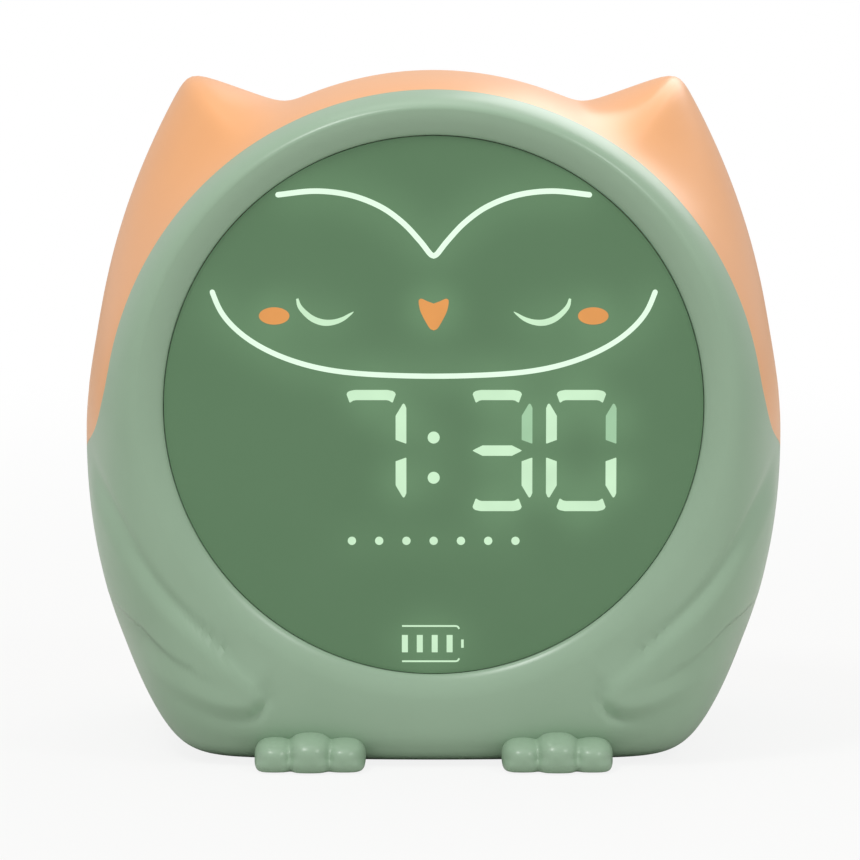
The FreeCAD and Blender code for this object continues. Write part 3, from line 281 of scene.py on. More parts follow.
def skin_place(angle, way):
    """Point of the skin: way 0 is at the rim's crest, 1 at the widest section, 2 at the panel's
    edge and 3 at its centre."""
    down = -math.sin(angle)
    power = (SKIN_POWER + SIDE_FULLNESS * smooth_step(*SIDE_FULLNESS_FROM, down)
             + LOW_FULLNESS * smooth_step(*LOW_FULLNESS_FROM, down))
    if way <= 1:
        turn = way * math.pi / 2
        inner, near = RIM_CREST_RADIUS, RIM_FRONT
        ears = smooth_step(*EARS_FROM_FRONT, math.degrees(turn))
    else:
        turn = max(2 - way, 0.0) * math.pi / 2
        inner, near = BACK_PANEL_RADIUS * min(1.0, 3 - way), BACK_PANEL
        ears = smooth_step(*EARS_FROM_BACK, math.degrees(turn))
    rise = math.sin(turn) ** (2 / power)
    run = max(math.cos(turn), 0.0) ** (2 / power)
    radius = inner + (outline_radius(angle, ears) - inner) * rise
    depth = WIDEST_DEPTH + (near - WIDEST_DEPTH) * run
    height = max(FACE_HEIGHT + radius * math.sin(angle), BASE_HEIGHT)
    return Vector((radius * math.cos(angle), depth, height))


PARTING_LINE = smooth_line(PARTING_CURVE, 12)


def behind_parting(place):
    """Whether a point lies on the rear housing's side of the line where the two meet."""
    if place.y < PARTING_LINE[0].x:
        return False
    for near, far in zip(PARTING_LINE, PARTING_LINE[1:]):
        if place.y <= far.x:
            share = (place.y - near.x) / (far.x - near.x)
            return place.z > near.y + share * (far.y - near.y)
    return True


def parting_way(angle):
    """How far along the skin the two housings meet, at one angle."""
    low, high = 0.0, PARTING_LAST_WAY
    for _ in range(HALVINGS):
        middle = (low + high) / 2
        if behind_parting(skin_place(angle, middle)):
            high = middle
        else:
            low = middle
    return (low + high) / 2


COLUMN_STEPS = [(-76, 1.5), (-5, 0.6), (30, 1.2), (72, 0.8), (90, 1.5)]


def column_angles():
    """Angles round the face, closest at the wings and the ears, in radians."""
    side = [-90.0]
    while side[-1] < 90:
        side.append(side[-1] + next(step for limit, step in COLUMN_STEPS if side[-1] < limit))
    side[-1] = 90.0
    degrees = side + [180 - here for here in reversed(side[1:-1])]
    return [math.radians(here) for here in degrees]


ANGLES = column_angles()
PARTINGS = [parting_way(angle) for angle in ANGLES]


def next_ring(bm, edges, places):
    """Extrudes an open ring of edges and puts its new corners, in order, at the given places."""
    made = bmesh.ops.extrude_edge_only(bm, edges=edges)["geom"]
    corners = [item for item in made if isinstance(item, bmesh.types.BMVert)]
    for corner, place in zip(corners, places):
        corner.co = place
    return [item for item in made if isinstance(item, bmesh.types.BMEdge)]


def ring_shell(rings):
    """Sheet through rings of points, grown from a circle by extruding its edge again and again."""
    bm = bmesh.new()
    circle = bmesh.ops.create_circle(bm, segments=len(rings[0]), radius=1.0)["verts"]
    for corner, place in zip(circle, rings[0]):
        corner.co = place
    edges = list(bm.edges)
    for ring in rings[1:]:
        edges = next_ring(bm, edges, ring)
    bmesh.ops.recalc_face_normals(bm, faces=bm.faces)
    return bm, edges


def finished(name, bm, material, body="root", sharp=SHARP_ANGLE):
    """Object from a finished mesh in millimetres, smooth but for corners past an angle, which
    rides on a body."""
    bmesh.ops.scale(bm, vec=(MM, MM, MM), verts=bm.verts)
    mesh = bpy.data.meshes.new(name)
    bm.to_mesh(mesh)
    bm.free()
    mesh.shade_smooth()
    mesh.set_sharp_from_angle(angle=math.radians(sharp))
    mesh.materials.append(material)
    made = bpy.data.objects.new(name, mesh)
    scene.collection.objects.link(made)
    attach(made, body)
    return made


def settle(piece):
    """Applies a piece's modifiers to its mesh."""
    bpy.context.view_layer.update()
    graph = bpy.context.evaluated_depsgraph_get()
    mesh = bpy.data.meshes.new_from_object(piece.evaluated_get(graph))
    piece.modifiers.clear()
    piece.data = mesh


# Satin injection-moulded ABS, as on soft-touch toys: an even colour with a very faint mottle,
# a fine spark-eroded skin and a broad soft highlight. The grain is drawn coarser than it is.

TONE_PATCH_MM = 14.0
GRAIN_MM = 0.35
GLOSS_RANGE = 0.03


def moulded_abs(name, colour, tone, roughness):
    """ABS plastic; tone is its slightly deeper shade."""
    material, tree = blank_material(name)
    place = node(tree, "ShaderNodeTexCoord").outputs["Object"]
    patches = node(tree, "ShaderNodeTexNoise", {
        "Vector": place, "Scale": 1 / (TONE_PATCH_MM * MM), "Detail": 3.0})
    colours = node(tree, "ShaderNodeMix", {"Factor": patches.outputs[0]}, data_type="RGBA")
    colours.inputs[6].default_value = linear(tone)
    colours.inputs[7].default_value = linear(colour)
    grain = node(tree, "ShaderNodeTexNoise", {
        "Vector": place, "Scale": 1 / (GRAIN_MM * MM), "Detail": 2.0})
    gloss = node(tree, "ShaderNodeMapRange", {
        "Value": patches.outputs[0], "To Min": roughness - GLOSS_RANGE,
        "To Max": roughness + GLOSS_RANGE})
    bump = node(tree, "ShaderNodeBump", {
        "Height": grain.outputs[0], "Strength": 0.05, "Distance": 0.0001})
    plastic = node(tree, "ShaderNodeBsdfPrincipled", {
        "Base Color": colours.outputs[2], "Roughness": gloss.outputs[0], "IOR": 1.5,
        "Normal": bump.outputs[0]})
    node(tree, "ShaderNodeOutputMaterial", {"Surface": plastic.outputs[0]})
    return material


# Sage green, with the skin of a finely sparked mould: satin, with soft-edged highlights
green_abs = moulded_abs("green_satin_abs", "#9DB89E", "#98B399", 0.31)


# Front housing: one green moulding with the rim round the face, the belly, the two folded wings
# and the flat underside. The wings stand about a millimetre proud, with a fine sunk line at
# their upper edge and round their tips.

WING_PROUD = 1.1
WING_UPPER_EDGE = [(68.5, 63.0), (61.5, 50.2), (52.3, 35.4), (40.9, 23.9), (34.0, 18.2),
                   (31.6, 13.2)]
WING_LOWER_EDGE = [(31.6, 13.2), (34.6, 9.6), (42.0, 9.9), (52.9, 14.7), (60.0, 19.5)]
WING_EDGE_WIDTH = 3.2
WING_SPREAD = 14.0
WING_LINE_DEPTH = 0.5
WING_LINE_HALF = 0.9
WING_LINE_REAR = (-8.0, 6.0)
WING_LINE_END = (0.6, 0.8)
WING_PILLOW_REAR = (-34.0, -18.0)
WING_PILLOW_END = (0.75, 1.0)
WING_TOP_FADE = (64.0, 48.0)
WING_HIGHEST = 66.0
WING_INNERMOST = 25.0
WING_LOWEST = BASE_HEIGHT + 0.5
EDGE_STEPS = 40
FRONT_ROWS = 96
FRONT_ROW_EASE = 1.25
RIM_PROFILE = [(LENS_GAP, -40.4), (LENS_GAP, -42.9), (0.32, -43.3), (0.6, -43.62), (1.3, -44.05),
               (2.4, -44.6), (3.6, -45.05)]

upper = smooth_line(WING_UPPER_EDGE, EDGE_STEPS)
lower = smooth_line(WING_LOWER_EDGE, EDGE_STEPS)
wing_line = upper + lower[1:]
wing_tree = KDTree(len(wing_line))
for index, point in enumerate(wing_line):
    wing_tree.insert((point.x, 0.0, point.y), index)
wing_tree.balance()


def wing_relief(place):
    """Height of the wing over the body at a point of the skin."""
    near, index, away = wing_tree.find((abs(place.x), 0.0, place.z))
    ahead = wing_line[min(index + 1, len(wing_line) - 1)] - wing_line[max(index - 1, 0)]
    inward = ahead.x * (place.z - near.z) - ahead.y * (abs(place.x) - near.x) > 0
    along = index / (len(wing_line) - 1)
    line_share = 1 - smooth_step(*WING_LINE_END, along)
    line = WING_LINE_DEPTH * line_share * math.exp(-(away / WING_LINE_HALF) ** 2)
    line *= 1 - smooth_step(*WING_LINE_REAR, place.y)
    pillow = 0.0
    if inward:
        spread = math.exp(-(away / WING_SPREAD) ** 2)
        pillow = WING_PROUD * smooth_step(0.0, WING_EDGE_WIDTH, away) * spread
        pillow *= (1 - smooth_step(*WING_PILLOW_REAR, place.y)) * (1 - smooth_step(*WING_PILLOW_END, along))
    return (pillow - line) * smooth_step(*WING_TOP_FADE, place.z)


def face_ring(radius, depth, angles):
    """Round ring of points about the face's axis."""
    return [Vector((radius * math.cos(a), depth, FACE_HEIGHT + radius * math.sin(a))) for a in angles]


def walled(shell):
    """Gives a housing's skin its wall, on the inside."""
    wall = shell.modifiers.new("wall", "SOLIDIFY")
    wall.thickness = WALL * MM
    wall.offset = -1.0


rings = [face_ring(LENS_RADIUS + out, depth, ANGLES) for out, depth in RIM_PROFILE]
for row in range(FRONT_ROWS + 1):
    share = (row / FRONT_ROWS) ** FRONT_ROW_EASE
    rings.append([skin_place(angle, way * share) for angle, way in zip(ANGLES, PARTINGS)])
bm, edges = ring_shell(rings)
bm.normal_update()
outward = 1.0 if max(bm.faces, key=lambda face: face.calc_center_median().z).normal.z > 0 else -1.0
moves = []
for corner in bm.verts:
    if WING_LOWEST < corner.co.z < WING_HIGHEST and abs(corner.co.x) > WING_INNERMOST:
        moves.append((corner, corner.normal * outward * wing_relief(corner.co)))
for corner, move in moves:
    corner.co += move
if outward < 0:
    bmesh.ops.reverse_faces(bm, faces=bm.faces)
front_shell = finished("front_shell", bm, green_abs)
walled(front_shell)
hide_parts("front_housing")


# Rear housing: a peach moulding with the hood, the ears and the flat back panel. The panel has
# round holes for the keys and the speaker, a slot, the charging port, a pin-hole and four
# screw wells; every hole has a slightly broken edge.

REAR_ROWS = 52
PANEL_WAY = 2.03
BUTTON_PLACES = [(index - 2) * 14.0 for index in range(5)]
BUTTON_DIAMETER = 7.6
BUTTON_LEVEL = 95.0
HOLE_GAP = 0.15
BROKEN_EDGE = 0.25
CONTROL_LEVEL = 77.0
SLIDER_PLACE = -24.0
SLIDER_TRAVEL = 1.0
SLIDER_SIZE = (2.4, 2.2)
SLOT_ROOM = (1.2, 0.6)
USB_PLACE = 24.0
USB_SIZE = (8.94, 3.26)
USB_ROOM = 0.5
RESET_DIAMETER = 1.6
SPEAKER_LEVEL = 48.0
GRILLE_HOLE = 2.4
GRILLE_PITCH = 4.2
CASE_SCREW_PLACES = [(-38.5, 107.9), (38.5, 107.9), (-47.0, 38.5), (47.0, 38.5)]
CASE_WELL_DIAMETER = 7.0
CASE_WELL_FLOOR = 30.0
CASE_WELL_CUT = (4, 40)
CUT_DEPTH = 4
LEAST_REAR_WAY = 0.02

# The same plastic and skin in peach
peach_abs = moulded_abs("peach_satin_abs", "#F8B276", "#F4AD71", 0.31)


def turned(bm, profile, centre, axis, steps):
    """Spins a profile of (radius, distance along the axis) into a closed round form."""
    axis = Vector(axis)
    across = axis.orthogonal().normalized()
    centre = Vector(centre)
    corners = [bm.verts.new(centre + across * radius + axis * along) for radius, along in profile]
    edges = [bm.edges.new(pair) for pair in zip(corners, corners[1:])]
    bmesh.ops.spin(bm, geom=corners + edges, cent=centre, axis=axis, angle=2 * math.pi, steps=steps,
                   use_merge=True)


def closed_up(bm):
    """Merges doubled corners and turns every face outwards."""
    bmesh.ops.remove_doubles(bm, verts=bm.verts, dist=1e-4)
    bmesh.ops.recalc_face_normals(bm, faces=bm.faces)


def slot_cutter(bm, x, z, width, height):
    """Round-ended bar along the depth, flared where it leaves the panel."""
    circle = bmesh.ops.create_circle(bm, segments=32, radius=height / 2, cap_ends=True)
    corners = circle["verts"]
    for corner in corners:
        side = math.copysign((width - height) / 2, corner.co.x)
        corner.co = Vector((x + side + corner.co.x, BACK_PANEL - CUT_DEPTH, z + corner.co.y))
    face = corners[0].link_faces[0]
    for depth, flare in ((BACK_PANEL - BROKEN_EDGE, 0.0), (BACK_PANEL + BROKEN_EDGE, 2 * BROKEN_EDGE)):
        face = bmesh.ops.extrude_discrete_faces(bm, faces=[face])["faces"][0]
        middle = Vector((x, 0, z))
        for corner in face.verts:
            away = corner.co - middle
            away.y = 0
            corner.co += away.normalized() * flare
            corner.co.y = depth


def cut_away(piece, cutters, crossing=False):
    """Takes the cutters out of a piece and removes them."""
    for cutter in cutters:
        cut = piece.modifiers.new(cutter.name, "BOOLEAN")
        cut.operation = "DIFFERENCE"
        cut.solver = "EXACT"
        cut.use_self = crossing
        cut.object = cutter
    settle(piece)
    for cutter in cutters:
        bpy.data.objects.remove(cutter)
    piece.data.set_sharp_from_angle(angle=math.radians(SHARP_ANGLE))


rings = []
for row in range(REAR_ROWS + 1):
    share = row / REAR_ROWS
    ring = []
    for angle, start in zip(ANGLES, PARTINGS):
        end = max(PANEL_WAY, start + LEAST_REAR_WAY)
        ring.append(skin_place(angle, start + (end - start) * share))
    rings.append(ring)
bm, edges = ring_shell(rings)
bmesh.ops.contextual_create(bm, geom=edges)
bmesh.ops.recalc_face_normals(bm, faces=bm.faces)
bm.normal_update()
if max(bm.faces, key=lambda face: face.calc_center_median().z).normal.z < 0:
    bmesh.ops.reverse_faces(bm, faces=bm.faces)
rear_shell = finished("rear_shell", bm, peach_abs)
walled(rear_shell)

bm = bmesh.new()
holes = [(x, BUTTON_LEVEL, BUTTON_DIAMETER / 2 + HOLE_GAP) for x in BUTTON_PLACES]
holes.append((0.0, CONTROL_LEVEL, RESET_DIAMETER / 2))
holes.append((0.0, SPEAKER_LEVEL, GRILLE_HOLE / 2))
for ring in (1, 2):
    for index in range(6 * ring):
        angle = 2 * math.pi * index / (6 * ring)
        across, up = ring * GRILLE_PITCH * math.cos(angle), ring * GRILLE_PITCH * math.sin(angle)
        holes.append((across, SPEAKER_LEVEL + up, GRILLE_HOLE / 2))
for x, z, radius in holes:
    profile = [(0, -CUT_DEPTH), (radius, -CUT_DEPTH), (radius, -BROKEN_EDGE),
               (radius + 2 * BROKEN_EDGE, BROKEN_EDGE), (0, BROKEN_EDGE)]
    turned(bm, profile, (x, BACK_PANEL, z), (0, 1, 0), 32)
closed_up(bm)
cutters = [finished("panel_holes", bm, peach_abs)]
bm = bmesh.new()
slot_cutter(bm, SLIDER_PLACE, CONTROL_LEVEL, SLIDER_SIZE[0] + 2 * SLIDER_TRAVEL + SLOT_ROOM[0],
            SLIDER_SIZE[1] + SLOT_ROOM[1])
slot_cutter(bm, USB_PLACE, CONTROL_LEVEL, USB_SIZE[0] + USB_ROOM, USB_SIZE[1] + USB_ROOM)
closed_up(bm)
cutters.append(finished("panel_slots", bm, peach_abs))
bm = bmesh.new()
radius = CASE_WELL_DIAMETER / 2
start, end = CASE_WELL_CUT
profile = [(0, start), (radius, start), (radius, end), (0, end)]
for x, z in CASE_SCREW_PLACES:
    turned(bm, profile, (x, CASE_WELL_FLOOR, z), (0, 1, 0), 40)
closed_up(bm)
cutters.append(finished("screw_ways", bm, peach_abs))
cut_away(rear_shell, cutters)
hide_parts("rear_housing")


# Screw wells: the tubes that the case screws go down, moulded with the rear housing.
# Each runs from its floor, which has the screw's hole, out to the curved skin.

WELL_WALL = 1.2
WELL_HOLE_RADIUS = 1.8
WELL_BOTTOM = 1.6
WELL_MOUTH = 10


def skin_depth(x, z):
    """Depth of the rear skin behind a place seen from the back."""
    angle = math.atan2(z - FACE_HEIGHT, x)
    reach = math.hypot(x, z - FACE_HEIGHT)
    low, high = 1.0, 2.0
    for _ in range(HALVINGS):
        middle = (low + high) / 2
        place = skin_place(angle, middle)
        if math.hypot(place.x, place.z - FACE_HEIGHT) > reach:
            low = middle
        else:
            high = middle
    return skin_place(angle, low).y


bm = bmesh.new()
inner = CASE_WELL_DIAMETER / 2
outer = inner + WELL_WALL
profile = [(WELL_HOLE_RADIUS, -WELL_BOTTOM), (outer, -WELL_BOTTOM), (outer, WELL_MOUTH), (inner, WELL_MOUTH),
           (inner, 0), (WELL_HOLE_RADIUS, 0), (WELL_HOLE_RADIUS, -WELL_BOTTOM)]
for x, z in CASE_SCREW_PLACES:
    turned(bm, profile, (x, CASE_WELL_FLOOR, z), (0, 1, 0), 40)
for corner in bm.verts:
    if corner.co.y > CASE_WELL_FLOOR + WELL_MOUTH / 2:
        corner.co.y = skin_depth(corner.co.x, corner.co.z) - WALL / 4
closed_up(bm)
wells = finished("screw_wells", bm, peach_abs)


# Case screws: zinc-plated steel pan heads with a cross recess, deep in the wells.

CASE_HEAD_RADIUS = 2.8
CASE_HEAD_HEIGHT = 1.9
CASE_SHAFT_RADIUS = 1.4
CASE_SHAFT_LENGTH = 13.5
RECESS_SIZE = (3.0, 0.75)
RECESS_CUT = 2.4
PLATING_PATCH_MM = 1.5
PLATING_GLOSS_RANGE = 0.08


def plated_steel(name, colour, roughness):
    """Bright-plated steel with the faint patchy sheen of barrel plating."""
    material, tree = blank_material(name)
    place = node(tree, "ShaderNodeTexCoord").outputs["Object"]
    patches = node(tree, "ShaderNodeTexNoise", {
        "Vector": place, "Scale": 1 / (PLATING_PATCH_MM * MM), "Detail": 4.0})
    gloss = node(tree, "ShaderNodeMapRange", {
        "Value": patches.outputs[0], "To Min": roughness - PLATING_GLOSS_RANGE,
        "To Max": roughness + PLATING_GLOSS_RANGE})
    metal = node(tree, "ShaderNodeBsdfPrincipled", {
        "Base Color": linear(colour), "Metallic": 1.0, "Roughness": gloss.outputs[0]})
    node(tree, "ShaderNodeOutputMaterial", {"Surface": metal.outputs[0]})
    return material


# Clear zinc plate: a cool, slightly cloudy grey
zinc_plate = plated_steel("zinc_plated_steel", "#C9CACB", 0.32)
bm = bmesh.new()
r, h = CASE_HEAD_RADIUS, CASE_HEAD_HEIGHT
profile = [(0, -CASE_SHAFT_LENGTH), (0.9, 0.2 - CASE_SHAFT_LENGTH),
           (CASE_SHAFT_RADIUS, 1.5 - CASE_SHAFT_LENGTH), (CASE_SHAFT_RADIUS, 0), (r, 0), (r, h * 0.45),
           (r * 0.95, h * 0.7), (r * 0.82, h * 0.88), (r * 0.62, h * 0.97), (0, h)]
for x, z in CASE_SCREW_PLACES:
    turned(bm, profile, (x, CASE_WELL_FLOOR, z), (0, 1, 0), 32)
closed_up(bm)
case_screws = finished("cross_head_screws", bm, zinc_plate)
bm = bmesh.new()
for x, z in CASE_SCREW_PLACES:
    for long, short in (RECESS_SIZE, RECESS_SIZE[::-1]):
        bar = bmesh.ops.create_cube(bm, size=1.0)["verts"]
        bmesh.ops.scale(bm, vec=(long, RECESS_CUT, short), verts=bar)
        bmesh.ops.translate(bm, vec=(x, CASE_WELL_FLOOR + CASE_HEAD_HEIGHT, z), verts=bar)
cut_away(case_screws, [finished("cross_recess", bm, zinc_plate)], crossing=True)
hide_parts("case_screws")


# Feet: two small green mouldings glued under the belly, each of three rounded toes that run
# together. Every toe is one swollen form, and the three are melted into one skin.

FOOT_CENTRE = 23.6
FOOT_LIFT = 0.2
TOES = [(-6.6, -44.6, 4.4, 7.6, 5.8), (0.0, -45.0, 4.9, 8.2, 6.8), (6.6, -44.6, 4.4, 7.6, 5.8)]
TOE_ROUNDNESS = 0.8
SOLE_ROUNDNESS = 0.6
TOE_WIDTH_SHARE = 0.92
TOE_MIDDLE_SHARE = 0.42
TOE_GRAIN = 0.3

for side, name in ((-1, "left_foot"), (1, "right_foot")):
    bm = bmesh.new()
    for across, depth, half, reach, tall in TOES:
        toe = bmesh.ops.create_uvsphere(bm, u_segments=32, v_segments=24, radius=1.0)["verts"]
        for corner in toe:
            power = SOLE_ROUNDNESS if corner.co.z < 0 else TOE_ROUNDNESS
            boxed = Vector([math.copysign(abs(c) ** power, c) for c in corner.co])
            corner.co = Vector((
                side * FOOT_CENTRE + across + boxed.x * half * TOE_WIDTH_SHARE, depth + boxed.y * reach,
                FOOT_LIFT + tall * (TOE_MIDDLE_SHARE + boxed.z * (1 - TOE_MIDDLE_SHARE))))
            corner.co.z = max(corner.co.z, FOOT_LIFT)
    foot = finished(name + "_toes", bm, green_abs)
    melt = foot.modifiers.new("melt", "REMESH")
    melt.mode = "VOXEL"
    melt.voxel_size = TOE_GRAIN * MM
    soften = foot.modifiers.new("soften", "SMOOTH")
    soften.factor = 0.5
    soften.iterations = 8
    settle(foot)
    foot.data.shade_smooth()
    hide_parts(name)


# Rubber pads: four soft grey discs pressed into shallow seats under the belly.

PAD_RADIUS = 6.0
PAD_PLACES = [(-30.0, -24.0), (30.0, -24.0), (-27.0, 30.0), (27.0, 30.0)]
PAD_TOP = 1.9
PAD_EDGE = 0.35
BLOOM_PATCH_MM = 0.8


def moulded_rubber(name, colour):
    """Matt moulded rubber with a dusty bloom."""
    material, tree = blank_material(name)
    place = node(tree, "ShaderNodeTexCoord").outputs["Object"]
    bloom = node(tree, "ShaderNodeTexNoise", {
        "Vector": place, "Scale": 1 / (BLOOM_PATCH_MM * MM), "Detail": 3.0})
    gloss = node(tree, "ShaderNodeMapRange", {"Value": bloom.outputs[0], "To Min": 0.7, "To Max": 0.9})
    bump = node(tree, "ShaderNodeBump", {
        "Height": bloom.outputs[0], "Strength": 0.15, "Distance": 0.0001})
    rubber = node(tree, "ShaderNodeBsdfPrincipled", {
        "Base Color": linear(colour), "Roughness": gloss.outputs[0], "Normal": bump.outputs[0]})
    node(tree, "ShaderNodeOutputMaterial", {"Surface": rubber.outputs[0]})
    return material


# Mid-grey rubber: no highlight to speak of
grey_rubber = moulded_rubber("grey_rubber", "#77797A")
bm = bmesh.new()
profile = [(0, 0), (PAD_RADIUS - PAD_EDGE, 0), (PAD_RADIUS - 0.1, 0.1), (PAD_RADIUS, PAD_EDGE),
           (PAD_RADIUS, PAD_TOP), (0, PAD_TOP)]
for x, y in PAD_PLACES:
    turned(bm, profile, (x, y, 0), (0, 0, 1), 48)
closed_up(bm)
pads = finished("stick_on_pads", bm, grey_rubber)
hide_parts("rubber_pads")


# Signs of the display, as bands and dots a hair in front of the disc: each is a window in the
# disc's painted back with a light behind it, and reads as a flat, softly lit shape.

SIGN_DEPTH = -43.04
BROW_LINE = [(0.0, 98.0), (0.75, 98.5), (2.6, 100.85), (5.9, 104.35), (10.2, 107.4), (15.9, 109.55),
             (22.5, 110.3), (30.0, 109.55)]
BROW_WIDTH = 1.05
FACE_LINE = [(0, 75.0), (16.2, 75.7), (26.6, 77.9), (34.7, 81.7), (40.0, 86.6), (42.2, 91.6)]
FACE_LINE_WIDTH = 1.0
LEAST_WIDTH = 0.06
EYE = [(25.9, 89.9, 0.45), (25.5, 88.5, 0.8), (24.45, 87.2, 1.0), (22.9, 86.0, 1.15), (21.0, 85.35, 1.2),
       (19.1, 85.4, 1.05), (17.3, 86.0, 0.8), (15.9, 86.9, 0.45), (15.2, 87.4, 0.1)]
CHEEK_PLACE = (30.3, 86.6)
CHEEK_SIZE = (5.8, 3.3)
BEAK_HALF = [(0.0, 88.95), (1.2, 89.4), (2.2, 89.85), (2.7, 89.75), (2.85, 89.2), (2.55, 87.6), (1.75, 85.9),
             (0.75, 84.25), (0.0, 83.85)]
COLON_LEVELS = [55.7, 63.4]
COLON_RADIUS = 1.15
DAY_LEVEL = 43.6
DAY_SPACING = 5.2
DAY_RADIUS = 0.8
LINE_STEPS = 12
CURVE_STEPS = 6
END_STEPS = [0.0, 0.08, 0.25, 0.5]
END_CLEAR = 0.7
GLOW_PATCH_MM = 6


def light_window(name, colour, strength, film):
    """Frosted window lit from behind, a little uneven where its lamps sit."""
    material, tree = blank_material(name)
    place = node(tree, "ShaderNodeTexCoord").outputs["Object"]
    patches = node(tree, "ShaderNodeTexNoise", {
        "Vector": place, "Scale": 1 / (GLOW_PATCH_MM * MM), "Detail": 1.0})
    level = node(tree, "ShaderNodeMapRange", {
        "Value": patches.outputs[0], "To Min": strength * 0.88, "To Max": strength * 1.08})
    glow = node(tree, "ShaderNodeBsdfPrincipled", {
        "Base Color": linear(film), "Roughness": 0.32, "Emission Color": linear(colour),
        "Emission Strength": level.outputs[0]})
    node(tree, "ShaderNodeOutputMaterial", {"Surface": glow.outputs[0]})
    return material


# Owl's face in near-white mint, clock in greener mint, half-lit bars dimmer, cheeks in amber
mint_light = light_window("mint_light_window", "#EAFFEB", 0.92, "#4A664C")
clock_light = light_window("clock_light_window", "#D2F3D0", 0.86, "#4A664C")
dim_light = light_window("dim_light_window", "#A6CFA9", 0.8, "#4A664C")
amber_light = light_window("amber_light_window", "#E69A4E", 0.9, "#4C3A28")


def band(bm, line, widths):
    """Flat band along a line in the face plane, grown from one edge across its start."""
    pairs = []
    for index, point in enumerate(line):
        ahead = (line[min(index + 1, len(line) - 1)] - line[max(index - 1, 0)]).normalized()
        side = Vector((-ahead.y, ahead.x)) * widths[index] / 2
        pairs.append([Vector((p.x, SIGN_DEPTH, p.y)) for p in (point + side, point - side)])
    edge = bm.edges.new([bm.verts.new(place) for place in pairs[0]])
    for pair in pairs[1:]:
        made = bmesh.ops.extrude_edge_only(bm, edges=[edge])["geom"]
        corners = [item for item in made if isinstance(item, bmesh.types.BMVert)]
        for corner, place in zip(corners, pair):
            corner.co = place
        edge = [item for item in made if isinstance(item, bmesh.types.BMEdge)][0]


def round_widths(line, width):
    """Even width with rounded ends."""
    start, end = line[0], line[-1]
    widths = []
    for point in line:
        reach = min((point - start).length, (point - end).length, width / 2)
        widths.append(width * math.sqrt(max(0.02, 1 - (1 - 2 * reach / width) ** 2)))
    return widths


def end_steps(line, width):
    """Line with a few close points at both ends, so that a round end comes out round."""
    first, last = (line[1] - line[0]).normalized(), (line[-2] - line[-1]).normalized()
    head = [line[0] + first * width * step for step in END_STEPS]
    tail = [line[-1] + last * width * step for step in reversed(END_STEPS)]
    middle = [p for p in line[1:-1]
              if min((p - line[0]).length, (p - line[-1]).length) > width * END_CLEAR]
    return head + middle + tail


def flat_face(bm, outline):
    """One flat face in the face plane inside the ring of its (across, up) corners."""
    corners = [bm.verts.new((x, SIGN_DEPTH, z)) for x, z in outline]
    ring = [bm.edges.new(pair) for pair in zip(corners, corners[1:] + corners[:1])]
    bmesh.ops.contextual_create(bm, geom=ring)


def evened(line, passes=16):
    """Line with each inner point drawn to the mean of its neighbours, again and again."""
    for _ in range(passes):
        line = line[:1] + [(a + b + c) / 3 for a, b, c in zip(line, line[1:], line[2:])] + line[-1:]
    return line


def dot(bm, x, z, width, height, segments=32):
    """Flat round or oval dot."""
    corners = bmesh.ops.create_circle(bm, cap_ends=True, segments=segments, radius=0.5)["verts"]
    for corner in corners:
        corner.co = Vector((x + corner.co.x * width, SIGN_DEPTH, z + corner.co.y * height))


glow_points = []


def sign(name, bm, material):
    """Finished flat sign turned to the front, with its faces noted for the glow round them."""
    bm.normal_update()
    bmesh.ops.reverse_faces(bm, faces=[face for face in bm.faces if face.normal.y > 0])
    glow_points.extend([(face.calc_center_median(), face.calc_area()) for face in bm.faces])
    finished(name, bm, material)


bm = bmesh.new()
half = smooth_line(BROW_LINE, LINE_STEPS)
line = end_steps([Vector((-p.x, p.y)) for p in reversed(half[1:])] + half, BROW_WIDTH)
band(bm, line, round_widths(line, BROW_WIDTH))
sign("brow_line", bm, mint_light)

bm = bmesh.new()
half = smooth_line(FACE_LINE, LINE_STEPS)
line = evened([Vector((-p.x, p.y)) for p in reversed(half[1:])] + half)
line = end_steps(line, FACE_LINE_WIDTH)
band(bm, line, round_widths(line, FACE_LINE_WIDTH))
sign("face_line", bm, mint_light)

bm = bmesh.new()
for side in (-1, 1):
    points = smooth_line([(side * x, z, width) for x, z, width in EYE], CURVE_STEPS)
    band(bm, [Vector((p.x, p.y)) for p in points], [max(p.z, LEAST_WIDTH) for p in points])
sign("closed_eyes", bm, clock_light)

bm = bmesh.new()
for side in (-1, 1):
    dot(bm, side * CHEEK_PLACE[0], CHEEK_PLACE[1], *CHEEK_SIZE, segments=48)
half = smooth_line(BEAK_HALF, CURVE_STEPS)
flat_face(bm, [(p.x, p.y) for p in half] + [(-p.x, p.y) for p in reversed(half[1:-1])])
sign("cheeks_and_beak", bm, amber_light)


# Time: four digits of seven bars, the first one dark, and a colon. The bars at the top and the
# bottom droop at their ends, the upright ones are pointed at one end, the middle one at both.

DIGIT_PLACES = [-27.9, -11.9, 12.1, 28.1]
DIGIT_LEVEL = 60.9
DIGIT_HEIGHT = 23.2
DIGIT_WIDTH = 13.4
LEVEL_BAR_END = [(3.1, 0.0), (4.1, -0.2), (4.5, -0.45), (4.68, -0.85), (4.15, -2.3), (4.0, -2.42),
                 (3.8, -2.3), (3.4, -2.05), (2.9, -1.95)]
LEVEL_BAR = LEVEL_BAR_END + [(-x, z) for x, z in reversed(LEVEL_BAR_END)]
UPRIGHT_BAR = [(-0.55, 0.0), (-0.3, -0.15), (0.0, -0.85), (0.0, -7.6), (-0.15, -7.65), (-2.05, -6.95),
               (-2.05, -2.35), (-0.75, -0.15)]
MIDDLE_BAR = [(-4.7, 0.0), (-4.3, 0.25), (-2.8, 1.0), (2.8, 1.0), (4.3, 0.25), (4.7, 0.0), (4.3, -0.25),
              (2.8, -1.0), (-2.8, -1.0), (-4.3, -0.25)]
UPRIGHT_DROP = 2.6
